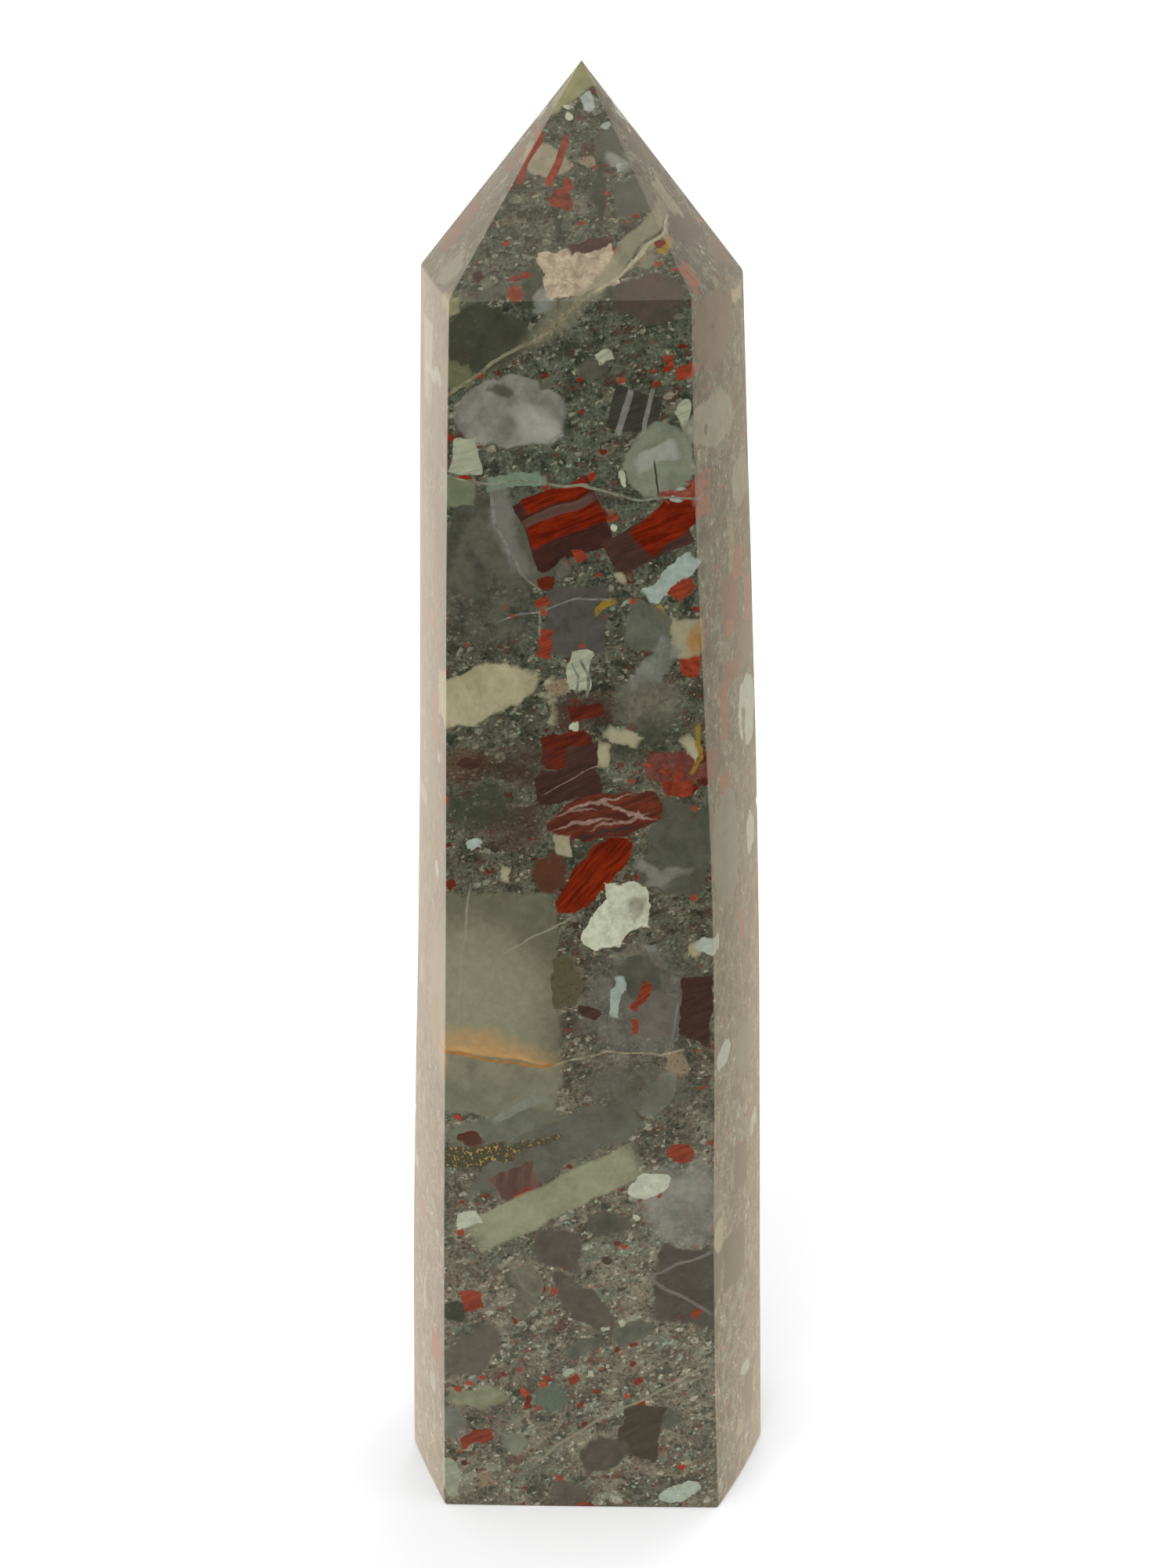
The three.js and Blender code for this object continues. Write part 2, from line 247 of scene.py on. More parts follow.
FRAGMENTS = (
    Fragment("olive cap", -6.6, 247.7, 19.1, 10.6, 28, OLIVE_CAP, BLOCK),
    Fragment("dark olive block", -17.0, 208.4, 13.4, 10.6, 8, DARK_OLIVE),
    Fragment("pale swirl over the dark block", -16.0, 215.6, 8.0, 2.2, 22, POINT_GREY, HAZE, cover=0.6),
    Fragment("mauve pebble by the shoulder", 9.8, 215.0, 12.4, 8.0, 0, OVAL_SMOKE),
    Fragment("dark wedge", -9.3, 216.6, 2.6, 8.2, -14, BLACK_GREEN),
    Fragment("blue grey sliver", -6.9, 215.2, 3.8, 5.6, -30, BLUE_GREY),
    Fragment("speckled cream patch", -1.5, 219.3, 11.8, 6.8, 12, SPECKLED, BLOCK),
    Fragment("soft veil under the vein", -3.8, 212.6, 20.0, 4.4, 39, CREAM_GLASS, HAZE, cover=0.5),
    Fragment("cream vein foot", 9.9, 220.8, 3.6, 3.2, 46, SMOKE_PALE),
    Fragment("maroon cap", 0.5, 222.7, 8.0, 1.7, 7, MAROON, BLOCK),
    Fragment("grey oval in the point", 3.6, 236.9, 5.4, 5.6, 0, POINT_GREY),
    Fragment("pale foot of the grey oval", 4.9, 234.8, 5.0, 2.2, -10, CLOUD_WHITE, HAZE, cover=0.5),
    Fragment("grey green clast in the point", 7.7, 229.6, 5.6, 5.4, 9, GREY_CLAST, BLOCK),
    Fragment("pale clast between red stripes", -7.2, 235.6, 5.0, 8.6, 68, PALE_CLAST),
    Fragment("red blob in the point", -4.4, 229.3, 3.7, 3.6, 20, BLOB_RED),
    Fragment("red bead over the blob", -3.5, 231.6, 1.9, 1.6, 0, ORANGE_RED),
    Fragment("mint fleck in the point", -0.4, 243.6, 2.1, 1.3, 30, MINT, BLOCK),
    Fragment("beige wedge", -0.4, 235.1, 2.3, 1.7, 0, TAN, BLOCK),
    Fragment("dark bead", -0.3, 232.7, 1.6, 2.3, 0, BLACK_GREEN),
    Fragment("dark streak in the point", 2.1, 229.9, 2.5, 9.8, 4, BLACK_GREEN),
    Fragment("pink grey bead", -1.3, 228.5, 2.6, 2.8, 0, PINK_GREY),
    Fragment("red bead under the shoulder", -11.9, 215.8, 2.3, 1.9, 19, ORANGE_RED),
    Fragment("dark maroon spot", -18.4, 217.7, 1.6, 2.0, 0, MAROON),
    Fragment("olive patch at the shoulder", -22.2, 213.7, 3.0, 2.2, 0, OLIVE_CAP, BLOCK),
    Fragment("ochre stain at the vein", 12.8, 223.0, 1.8, 2.8, -18, OCHRE),
    Fragment("dark oval", 0.6, 203.2, 4.9, 3.7, 10, SMOKE),
    Fragment("pale chip", 2.7, 205.2, 2.6, 1.6, 20, PALE_GREEN, BLOCK),
    Fragment("red bead 2", 13.2, 204.2, 1.7, 1.3, 10, RED, BLOCK),
    Fragment("red bead 3", 11.4, 200.3, 1.8, 1.1, 10, RED, BLOCK),
    Fragment("red at the right edge", 16.3, 202.9, 3.4, 2.4, 20, RED, BLOCK),
    Fragment("lavender chalcedony", -12.9, 195.7, 17.9, 11.9, 5, LAVENDER),
    Fragment("dark oval in the lavender", -14.7, 199.5, 3.9, 2.1, 5, SMOKE),
    Fragment("dark oval beside it", -7.0, 200.5, 2.3, 1.2, 0, SMOKE),
    Fragment("white cloud in the lavender", -8.8, 194.0, 9.0, 5.6, -31, CLOUD_WHITE, HAZE),
    Fragment("striated dark clast", 7.9, 195.8, 8.3, 6.9, -16, SOOT, SLAB),
    Fragment("pale green sliver", 15.9, 195.6, 2.3, 5.3, 0, PALE_GREEN),
    Fragment("sage clast", 12.0, 187.6, 11.2, 12.2, -20, SAGE),
    Fragment("white cloud in the sage clast", 11.7, 188.4, 6.6, 2.8, 24, CLOUD_WHITE, BLOCK, cover=0.75),
    Fragment("cream lined patch", -20.1, 188.7, 4.2, 5.9, 0, PALE_GREEN, BLOCK),
    Fragment("teal streak", -11.7, 184.4, 9.9, 2.7, 4, TEAL, BLOCK),
    Fragment("white cream chip", 5.6, 184.8, 1.6, 2.4, 0, WHITE),
    Fragment("grey green block at the left", -19.1, 173.7, 9.5, 17.7, -21, DARK_GREEN, BLOCK),
    Fragment("olive patch at the left edge", -21.7, 202.6, 4.6, 4.4, 0, OLIVE_PATCH, BLOCK),
    Fragment("sage patch at the left edge", -21.6, 182.4, 5.2, 4.8, 0, SAGE_PATCH, BLOCK),
    Fragment("grey clast behind the crescent", -10.2, 173.9, 11.8, 16.1, -21, SMOKE),
    Fragment(
        "dark ground under the left block", -16.5, 162.0, 17.0, 15.0, -21, DARK_GREEN, HAZE, cover=0.6,
    ),
    Fragment("pale side of the crescent", -14.2, 178.2, 3.6, 13.0, 8, LILAC_LINE, HAZE, cover=0.7),
    Fragment("pale foot of the crescent", -11.8, 171.2, 3.2, 7.0, 32, LILAC_LINE, HAZE, cover=0.6),
    Fragment("banded jasper", -4.2, 176.9, 13.4, 12.0, 23, JASPER_DARK, SLAB),
    Fragment("jasper's upper red band", -5.6, 181.5, 11.4, 2.7, 22, JASPER_RED, SLAB),
    Fragment("jasper's grey band", -5.2, 179.0, 12.9, 1.6, 24, JASPER_GREY, SLAB),
    Fragment("jasper's broad red band", -3.8, 176.9, 13.6, 3.6, 23, JASPER_RED, SLAB),
    Fragment("jasper's lowest band", -3.7, 173.0, 9.2, 2.1, 23, JASPER_BROWN, SLAB),
    Fragment("maroon under the red band", 9.9, 173.9, 14.5, 7.0, 25, MAROON, SLAB),
    Fragment("red band to the right edge", 14.6, 178.0, 14.8, 6.1, 40, JASPER_RED, SLAB),
    Fragment("mint at the patch", 15.3, 181.7, 3.1, 2.9, 0, MINT),
    Fragment("mint bar", 14.0, 167.5, 10.6, 3.2, 41, MINT, BLOCK),
    Fragment("red beside the mint bar", 16.0, 166.0, 4.0, 2.4, 41, RED, BLOCK),
    Fragment("red sliver at the dot", 3.8, 178.0, 2.1, 1.1, 20, RED),
    Fragment("red chip under the banded jasper", -1.6, 171.6, 2.1, 1.9, 21, RED, BLOCK),
    Fragment("cream chip", 5.5, 167.3, 2.1, 1.6, 0, CREAM),
    Fragment("mint grey spot", -4.7, 169.2, 2.6, 2.4, 0, GREY_GREEN),
    Fragment("red brown spot", -7.1, 167.3, 2.9, 2.7, 0, DEEP_RED),
    Fragment("slate clast", -2.0, 160.4, 10.2, 11.4, 0, SLATE, SLAB),
    Fragment("ochre bar", 2.8, 162.7, 3.2, 1.2, 26, OCHRE, BLOCK),
    Fragment("ochre chip", 12.2, 161.5, 1.6, 3.8, 0, OCHRE),
    Fragment("red chip 6", -7.7, 163.7, 2.6, 1.9, 21, RED, BLOCK),
    Fragment("red upright", -7.1, 156.4, 2.4, 5.2, -12, RED, BLOCK),
    Fragment("grey clast right of the slate", 10.0, 159.1, 7.9, 8.1, 21, GREY_GREEN),
    Fragment("red round at the right edge", 17.6, 152.4, 4.0, 4.2, 0, ORANGE_RED),
    Fragment("cream at the right edge", 16.4, 157.3, 5.0, 6.8, 0, CREAM, BLOCK, cover=0.8),
    Fragment("orange tint in it", 18.3, 157.0, 3.0, 5.6, 0, ORANGE_LINE, HAZE, cover=0.7),
    Fragment("light grey triangle", 10.9, 152.0, 10.5, 3.8, 50, BLUE_GREY, BLOCK, cover=0.9),
    Fragment("speckled grey cloud", 10.0, 145.8, 12.0, 9.5, 10, PINK_GREY, HAZE, cover=0.9),
    Fragment("striped pale clast", -1.4, 151.5, 4.0, 6.8, -10, PALE_GREEN, BLOCK),
    Fragment("maroon ground under the pale clast", -1.0, 144.6, 13.0, 7.0, 10, MAROON, HAZE, cover=0.6),
    Fragment("dark ground right of it", 9.0, 139.5, 12.0, 7.0, 20, BLACK_GREEN, HAZE, cover=0.55),
    Fragment("brown speckled chip", -5.5, 148.7, 4.2, 2.7, 10, TAN, BLOCK),
    Fragment("cream bar", -18.6, 147.4, 19.8, 8.6, 19, CREAM_BAR),
    Fragment("white bead", -2.5, 142.0, 2.2, 2.3, 0, WHITE),
    Fragment("mint chips at the left", -19.2, 121.0, 2.4, 1.7, 10, MINT, BLOCK),
    Fragment("cream chip at the left", -14.1, 116.2, 1.3, 2.8, 0, CREAM, BLOCK),
    Fragment("agate rim", 8.2, 102.3, 7.6, 1.3, 10, CLOUD_WHITE, BLOCK, cover=0.6),
    Fragment("red brown wedge", -0.5, 144.4, 5.0, 2.7, 10, DEEP_RED, BLOCK),
    Fragment("cream star", 6.1, 140.0, 6.0, 2.5, -16, CREAM, BLOCK),
    Fragment("cream star stalk", 2.6, 136.7, 1.9, 3.6, 0, CREAM, BLOCK),
    Fragment("yellow vein chip", 17.5, 137.0, 2.1, 6.0, 21, CREAM, BLOCK),
    Fragment("dark red clast upper", -3.7, 137.9, 8.7, 6.0, 10, DEEP_RED, BLOCK),
    Fragment("maroon beside it", -1.1, 136.2, 5.3, 4.7, 0, MAROON, BLOCK),
    Fragment("dark red clast lower", -3.2, 131.7, 10.3, 5.8, 10, MAROON, BLOCK),
    Fragment("maroon banded clast", 2.8, 126.1, 19.9, 7.7, 10, BANDED_RED),
    Fragment("pale streak 1 in the banded clast", 1.3, 128.2, 12.0, 0.7, 15, PINK_WHITE),
    Fragment("pale streak 2 in the banded clast", 6.6, 127.2, 8.8, 0.6, -17, PINK_WHITE),
    Fragment("pale streak 3 in the banded clast", -0.7, 124.6, 10.6, 0.6, 12, PINK_WHITE),
    Fragment("pale streak 4 in the banded clast", 5.4, 125.3, 9.0, 0.5, 18, PINK_WHITE, cover=0.7),
    Fragment("pale streak 5 in the banded clast", -2.6, 126.6, 7.0, 0.5, 4, PINK_WHITE, cover=0.6),
    Fragment("dark streak in the banded clast", 3.3, 123.5, 12.8, 0.8, 14, MAROON),
    Fragment("red wedge at the right", 14.7, 132.7, 5.0, 6.1, 10, ORANGE_RED, BLOCK),
    Fragment("dark red at the right edge", 19.3, 134.2, 2.4, 6.3, 0, DEEP_RED, BLOCK),
    Fragment("rusty ground at the left", -20.6, 135.0, 11.0, 7.0, 10, RUST, HAZE, cover=0.42),
    Fragment("maroon ground beside it", -11.0, 135.0, 11.0, 8.0, 10, MAROON, HAZE, cover=0.5),
    Fragment("maroon ground lower", -12.5, 124.8, 12.0, 9.0, 20, MAROON, HAZE, cover=0.55),
    Fragment("dark ground at the left", -18.0, 127.6, 13.0, 9.0, 10, BLACK_GREEN, HAZE, cover=0.6),
    Fragment("brown red chip", -20.0, 135.5, 2.9, 2.5, 0, MAROON),
    Fragment("red chip 16", 14.2, 124.2, 3.5, 1.1, 41, RED, BLOCK),
    Fragment("smoky clast", 15.6, 120.4, 10.6, 15.4, -16, SMOKE_DARK, BLOCK),
    Fragment("light wedge in the smoky clast", 11.0, 116.4, 6.6, 1.9, -36, GREY_WEDGE, BLOCK),
    Fragment("light wedge 2", 13.4, 115.6, 7.6, 2.2, 24, GREY_WEDGE),
    Fragment("cream star low", -4.6, 120.8, 2.9, 3.0, 0, CREAM, BLOCK),
    Fragment("cream chip low", -14.0, 116.0, 1.1, 2.8, 0, CREAM),
    Fragment("rust patch", -6.8, 116.3, 5.6, 6.9, 0, RUST),
    Fragment("red diagonal", 0.9, 115.6, 18.0, 6.4, 49, RED_STRIPED),
    Fragment("grey lilac ground", 9.0, 93.0, 21.0, 21.0, 20, GROUND_LILAC, HAZE, cover=0.62),
    Fragment("white stone", 4.8, 107.6, 13.0, 7.0, 46, WHITE_STONE),
    Fragment("white stone's upper end", 7.0, 110.3, 6.6, 8.4, 12, WHITE_STONE, BLOCK),
    Fragment("grey hollow in the white stone", 8.3, 110.2, 3.0, 4.4, -10, SMOKE_PALE, HAZE, cover=0.8),
    Fragment("cream chip right", 18.2, 102.0, 1.6, 2.5, 0, CREAM),
    Fragment("chalcedony block", -14.9, 97.2, 19.2, 30.2, 0, CHALCEDONY, BLOCK, cover=0.97),
    Fragment("lower chalcedony", -21.5, 92.5, 30.0, 30.0, 0, CHALCEDONY_PALE, HAZE),
    Fragment("orange stain", -19.0, 83.6, 26.0, 9.0, -6, ORANGE_STAIN, HAZE, cover=0.6),
    Fragment("orange heart of the stain", -18.5, 83.0, 23.0, 3.4, -6, ORANGE_STAIN, HAZE),
    Fragment("olive block", -4.0, 96.5, 4.7, 8.2, 0, OLIVE, BLOCK),
    Fragment("pink grey cap", 7.7, 102.3, 5.3, 2.5, 0, PINK_GREY),
    Fragment("grey clast middle", 8.6, 97.7, 8.0, 7.3, 10, SMOKE),
    Fragment("pale blue bar", 4.7, 94.0, 1.6, 6.5, 0, MINT, BLOCK),
    Fragment("red upright low", 9.4, 94.4, 2.0, 5.6, -16, RED, BLOCK),
    Fragment("red chip under it", 8.2, 89.1, 1.3, 2.8, 0, RED, BLOCK),
    Fragment("dark maroon spot low", -0.1, 91.1, 4.0, 2.5, 0, MAROON),
    Fragment("purple grey clast", 12.7, 90.4, 8.3, 7.9, 0, LAVENDER_DARK),
    Fragment("red brown block", 18.5, 92.0, 5.4, 11.3, 0, MAROON, BLOCK),
    Fragment("block under the orange line", -15.0, 77.6, 19.4, 10.6, -6, LEFT_BLOCK, BLOCK),
    Fragment("green clasts over the gold", -13.5, 70.1, 20.3, 5.7, 13, GREEN_DARK),
    Fragment("mint bar low", -11.6, 73.8, 9.0, 1.3, 29, PALE_LENS, BLOCK),
    Fragment("brown red chip low", -20.0, 68.2, 3.8, 2.3, 0, DEEP_RED),
    Fragment("rust chip by the gold", -19.7, 67.8, 3.5, 2.0, 0, RUST),
    Fragment("tan block", 15.3, 82.0, 3.5, 4.0, 0, TAN, BLOCK),
    Fragment("lens on the right", 12.5, 76.5, 8.7, 3.8, 62, PALE_LENS),
    Fragment("grey green clast low", 3.1, 71.1, 11.6, 7.4, 0, GREY_GREEN),
    Fragment("dark haze under the line", 8.6, 77.2, 19.0, 9.0, -8, HAZE_OLIVE, HAZE, cover=0.7),
    Fragment("dark margin of the sage bar", -6.7, 66.1, 29.4, 8.8, 28, SAGE_DARK),
    Fragment("gold specks", -19.4, 65.2, 12.0, 3.0, 8, GOLD, BLOCK),
    Fragment("gold specks to the right", -9.5, 67.2, 11.0, 1.6, 14, GOLD, cover=0.8),
    Fragment("brown pink striped clast", -12.2, 60.0, 7.9, 6.0, 21, PINK_BROWN, BLOCK),
    Fragment("red bar by it", -11.2, 58.2, 4.1, 1.3, 32, RED, BLOCK),
    Fragment("sage bar", -5.6, 57.4, 30.6, 6.1, 27, SAGE_BAR, SLAB),
    Fragment("white chip at the left", -20.5, 53.4, 3.9, 2.4, 26, WHITE_LOW, BLOCK),
    Fragment("lavender cloud", 16.6, 56.4, 15.0, 17.0, 0, LAVENDER, HAZE, cover=0.9),
    Fragment("white stone low", 10.5, 59.9, 7.4, 4.4, 18, WHITE_LOW),
    Fragment("red stone low", 15.5, 65.5, 5.7, 3.4, -5, RED),
    Fragment("dark ellipse", 3.2, 52.6, 7.6, 3.8, -5, SMOKE),
    Fragment("mauve clast", -5.3, 48.1, 8.2, 6.3, -16, MAUVE_DARK, BLOCK),
    Fragment("dark brown chip", 3.5, 46.1, 1.9, 1.9, 0, BROWN),
    Fragment("mauve block at the right", 17.4, 41.4, 11.6, 13.6, -11, MAUVE_BLOCK, BLOCK),
    Fragment("grey clast low", -10.4, 42.2, 5.0, 4.6, 0, PALE_PATCH),
    Fragment("grey clast below it", -11.6, 37.9, 4.2, 5.6, -10, PALE_PATCH),
    Fragment("red patch low", -19.6, 38.4, 3.8, 3.8, 0, RED, BLOCK),
    Fragment("long mauve clast", -0.7, 38.0, 14.2, 5.6, -52, MAUVE_DARK),
    Fragment("bright red chip", 18.5, 36.2, 2.2, 1.3, 42, RED, BLOCK),
    Fragment("dark green clast low", -23.0, 36.1, 4.1, 3.5, 0, BLACK_GREEN),
    Fragment("smoky oval", -20.2, 28.8, 11.7, 7.0, 37, SMOKY_BROWN),
    Fragment("grey oval low", 7.8, 32.6, 7.1, 4.4, 16, GREY_GREEN),
    Fragment("grey bar low", -1.4, 29.5, 6.9, 2.6, 16, GREY_GREEN),
    Fragment("white fleck 1", 5.9, 34.6, 1.7, 1.0, 32, WHITE, BLOCK),
    Fragment("white fleck 2", 2.6, 33.2, 1.2, 0.7, 21, WHITE, BLOCK),
    Fragment("white fleck 3", 0.8, 25.3, 1.0, 1.3, 0, WHITE, BLOCK),
    Fragment("white fleck 4", -3.5, 25.1, 2.0, 0.9, 37, WHITE, BLOCK),
    Fragment("red chip 27", -7.6, 24.0, 1.6, 1.2, 0, RED, BLOCK),
    Fragment("red chip 28", -2.3, 24.1, 2.2, 1.4, 27, RED, BLOCK),
    Fragment("red chip 33", 9.3, 19.7, 1.9, 1.3, 0, RED, BLOCK),
    Fragment("pale green clast low", -19.7, 20.4, 10.1, 3.2, 9, PALE_OLIVE),
    Fragment("teal clast", -6.8, 20.4, 5.5, 4.6, 0, TEAL_DARK, cover=0.8),
    Fragment("blue grey corner clast", -23.7, 15.4, 4.1, 5.3, 0, BLUE_GREY),
    Fragment("red bar", -19.3, 12.9, 5.3, 1.9, 23, RED, BLOCK),
    Fragment("dark brown block", 9.0, 14.4, 6.9, 9.7, -11, BROWN, BLOCK),
    Fragment("grey beside the brown block", 14.1, 16.2, 3.6, 3.8, 0, GREY_GREEN),
    Fragment("mauve grey clast", 3.1, 10.0, 8.5, 6.2, 0, MAUVE_DARK),
    Fragment("green clast", -13.2, 11.8, 4.4, 3.8, 0, SAGE),
    Fragment("white stone at the foot", 15.8, 3.2, 7.5, 3.5, 21, WHITE_MINT),
    Fragment("cream block at the foot", -17.6, 4.7, 2.7, 2.4, 0, TAN, BLOCK),
    Fragment("dark grey at the foot", -3.2, 2.4, 7.4, 5.3, 0, BROWN_GREY),
    Fragment("red at the bottom edge", -0.1, 0.1, 3.6, 0.9, 0, RED),
    Fragment("mint streak at the corner", -23.7, 5.3, 3.6, 7.4, 11, PALE_GREEN),
    Fragment("pebble across the right edge", 21.2, 192.4, 18.0, 9.2, 0, SIDE_PEBBLE, PEBBLE, -18.4, 10.6),
    on_side("pale pebble on the right side", 26.1, 179.1, 8.1, SIDE_PEBBLE, PEBBLE, -4.8, 4.8),
    on_side("mauve pebble on the right side", 20.8, 207.6, 13.0, MAUVE_PALE, PEBBLE, -16.8, 9.4),
    on_side("dark dash on the right side", 20.7, 208.4, 1.6, MAROON, PEBBLE, -18.0, 0.8),
    on_side("cream crumbs on the right side", 25.0, 211.5, 2.2, CREAM, BLOCK, -4.8, 2.9),
    on_side("pink side of the red patch", 19.1, 180.6, 7.1, SIDE_RED, BLOCK, -24.3, 3.0),
    on_side("rose streak by the edge", 24.4, 159.0, 10.9, SIDE_ROSE, BLOCK, -12.5, 4.7),
    on_side("rose streak 2", 25.6, 165.2, 6.3, SIDE_RED, BLOCK, -8.1, 2.7),
    on_side("salmon streak at the silhouette", 27.4, 157.2, 8.2, SIDE_RED, BLOCK, -3.0, 2.1),
    on_side("tan streak 1", 24.2, 168.5, 9.0, TAN_LINE, BLOCK, -11.8, 1.3),
    on_side("lilac oval on the right side", 27.0, 149.9, 6.8, MAUVE_PALE, PEBBLE, -5.5, 4.6),
    on_side("pink bead on the right side", 24.2, 154.9, 3.0, SIDE_RED, BLOCK, -13.9, 1.9),
    on_side("pink lilac on the right side", 24.8, 147.4, 3.8, SIDE_ROSE, BLOCK, -13.0, 4.8),
    on_side("rose streak 3", 23.2, 141.7, 9.1, SIDE_RED, BLOCK, -18.6, 1.8),
    on_side("white clast at the silhouette", 27.5, 138.2, 12.1, WHITE_SIDE, PEBBLE, -5.2, 5.4),
    on_side("tan line in the white clast", 26.9, 136.1, 6.9, TAN_LINE, BLOCK, -7.6, 0.8),
    on_side("dusky rose on the right side", 21.0, 134.8, 5.5, SIDE_ROSE, BLOCK, -25.8, 2.5),
    on_side("pink bead low on the right side", 23.4, 129.5, 3.6, SIDE_RED, BLOCK, -19.7, 2.5),
    on_side("white streak on the right side", 28.2, 116.2, 8.3, WHITE_SIDE, PEBBLE, -5.2, 2.9),
    on_side("grey lens on the right side", 23.7, 118.1, 20.2, SAGE_SIDE, PEBBLE, -20.2, 7.3),
    on_side("rose streak 4", 26.5, 101.7, 5.3, SIDE_RED, BLOCK, -12.9, 1.8),
    Fragment("white chip across the edge", 21.4, 102.9, 7.0, 3.1, 0, WHITE_SIDE, PEBBLE, -28.6, 3.1),
    on_side("pale oval on the right side", 23.4, 81.8, 4.0, WHITE_SIDE, PEBBLE, -24.1, 3.7),
    on_side("grey block on the right side", 27.4, 78.6, 8.4, SAGE_SIDE, PEBBLE, -10.9, 6.2),
    on_side("white chip at the silhouette", 29.2, 62.8, 3.6, WHITE_SIDE, PEBBLE, -4.3, 2.3),
    on_side("red chip at the silhouette", 28.7, 65.7, 1.7, SIDE_RED, BLOCK, -6.2, 1.5),
    on_side("lilac streak", 26.8, 57.7, 8.7, LILAC_SIDE, BLOCK, -13.6, 4.3),
    Fragment("cream wedge on the edge", 22.7, 49.3, 9.0, 5.6, 0, CREAM, PEBBLE, -27.0, 2.5),
    on_side("sage block on the right side", 25.7, 42.5, 9.9, OLIVE_SIDE, BLOCK, -17.9, 6.5),
    on_side("red fleck on the right side", 28.5, 30.5, 2.0, SIDE_RED, BLOCK, -8.2, 1.5),
    on_side("white fleck on the right side", 27.8, 18.1, 2.6, WHITE_SIDE, PEBBLE, -11.7, 3.2),
    on_side("pink fleck on the right side", 24.8, 15.5, 2.3, SIDE_ROSE, BLOCK, -22.6, 1.4),
    # Four dark spots on the upper front right edge are painted shade of its small nicks: two lie on dents of
    # the mesh, the other two where the mesh has none.
    Fragment("painted shade 1 on the right edge", 19.2, 199.6, 4.0, 1.6, 0, BLACK_GREEN, PEBBLE, -22.5, 0.8),
    Fragment("painted shade 2 on the right edge", 19.4, 191.3, 4.0, 1.9, 0, BLACK_GREEN, PEBBLE, -22.7, 0.8),
    Fragment("painted shade 3 on the right edge", 19.7, 182.9, 4.0, 1.4, 0, BLACK_GREEN, PEBBLE, -22.7, 0.8),
    Fragment("painted shade 4 on the right edge", 19.7, 180.6, 4.0, 0.8, 0, BLACK_GREEN, PEBBLE, -22.9, 1.0),
    on_side("dark streak on the right side", 28.7, 12.8, 8.5, OLIVE_SIDE, BLOCK, -8.9, 2.8),
    on_side("cream fleck on the right side", 26.7, 8.6, 2.6, CREAM, BLOCK, -16.8, 1.9),
    on_side("pink streak on the left side", -26.0, 140.6, 7.7, LEFT_RED, BLOCK, -18.4, 2.0),
    on_side("white fleck on the left side", -25.9, 113.9, 2.8, WHITE_SIDE, PEBBLE, -20.5, 1.5),
    on_side("pale patch by the cream bar", -24.6, 146.6, 8.2, CREAM, BLOCK, -25.1, 3.2),
    on_side("orange tint on the left side", -26.2, 87.1, 10.6, ORANGE_SIDE, PEBBLE, -20.9, 4.2),
    on_side("pink fleck low on the left side", -29.2, 48.4, 3.7, LEFT_RED, BLOCK, -10.5, 1.9),
    on_side("pink fleck 3 on the left side", -26.2, 67.6, 2.0, LEFT_RED, BLOCK, -22.5, 1.3),
    on_side("white streak low on the left side", -28.8, 33.9, 6.5, WHITE_SIDE, PEBBLE, -13.1, 1.1),
    on_side("pink patch on the left side", -26.7, 27.2, 5.7, LEFT_RED, BLOCK, -22.7, 3.6),
    on_side("grey patch on the left side", -26.6, 129.5, 12.4, SMOKE, PEBBLE, -16.2, 5.7),
    on_side("pale streak on the left side", -27.0, 200.6, 14.8, WHITE_SIDE, BLOCK, -9.5, 4.2, 0.5),
    on_side("grey lilac patch on the left side", -25.9, 195.9, 8.1, SMOKE, BLOCK, -15.4, 5.4, 0.4),
    on_side("pale arc on the left side", -26.1, 199.3, 1.9, WHITE_SIDE, BLOCK, -14.5, 7.8, 0.6),
    on_side("pink fleck on the left side", -26.5, 157.3, 3.6, LEFT_RED, BLOCK, -15.0, 3.3, 0.8),
    on_side("white fleck 2 on the left side", -25.3, 135.0, 1.9, WHITE_SIDE, BLOCK, -22.3, 1.5, 0.9),
    on_side("pink fleck 4 on the left side", -26.6, 117.9, 2.5, LEFT_RED, BLOCK, -16.5, 2.0, 0.6),
    on_side("pale patch 2 on the left side", -28.5, 123.1, 3.0, WHITE_SIDE, BLOCK, -5.8, 3.3, 0.5),
    on_side("faint pink streak on the left side", -29.2, 97.5, 6.9, LEFT_RED, BLOCK, -4.8, 2.3, 0.35),
    on_side("pale line on the left side", -29.2, 90.5, 3.6, WHITE_SIDE, BLOCK, -5.5, 1.3, 0.8),
    on_side("white fleck 3 on the left side", -30.2, 55.0, 2.0, WHITE_SIDE, BLOCK, -4.5, 1.6, 0.9),
    on_side("white fleck 4 on the left side", -26.2, 48.9, 1.1, WHITE_SIDE, BLOCK, -23.8, 1.0),
    on_side("pale patch 3 on the left side", -27.3, 19.4, 3.4, WHITE_SIDE, BLOCK, -20.0, 2.0, 0.6),
    on_side("dark patch on the left side", -25.2, 189.4, 12.2, SMOKE, PEBBLE, -19.5, 3.7),
    on_side("white wedge on the right of the point", 5.7, 241.1, 3.8, WHITE_SIDE, PEBBLE, -0.2, 1.9),
    on_side("smooth grey on the right of the point", 9.2, 235.4, 6.0, SMOKE, PEBBLE, -2.6, 5.0),
    on_side("cream streak on the right of the point", 13.9, 226.9, 7.6, CREAM, BLOCK, -8.3, 1.7, 0.4),
    on_side("mauve clast on the right of the point", 16.1, 223.2, 5.4, MAUVE_BROWN, PEBBLE, -10.1, 6.3),
    Fragment("pink red clast under it", 16.5, 217.7, 6.0, 3.8, 0, SIDE_RED, BLOCK, -22.1, 2.3),
    on_side("grey clast on the right of the point", 21.8, 218.3, 3.5, MAUVE_PALE, PEBBLE, -4.1, 4.4),
    on_side("pink streaks on the left of the point", -21.1, 223.2, 7.3, SIDE_ROSE, BLOCK, -5.1, 3.2),
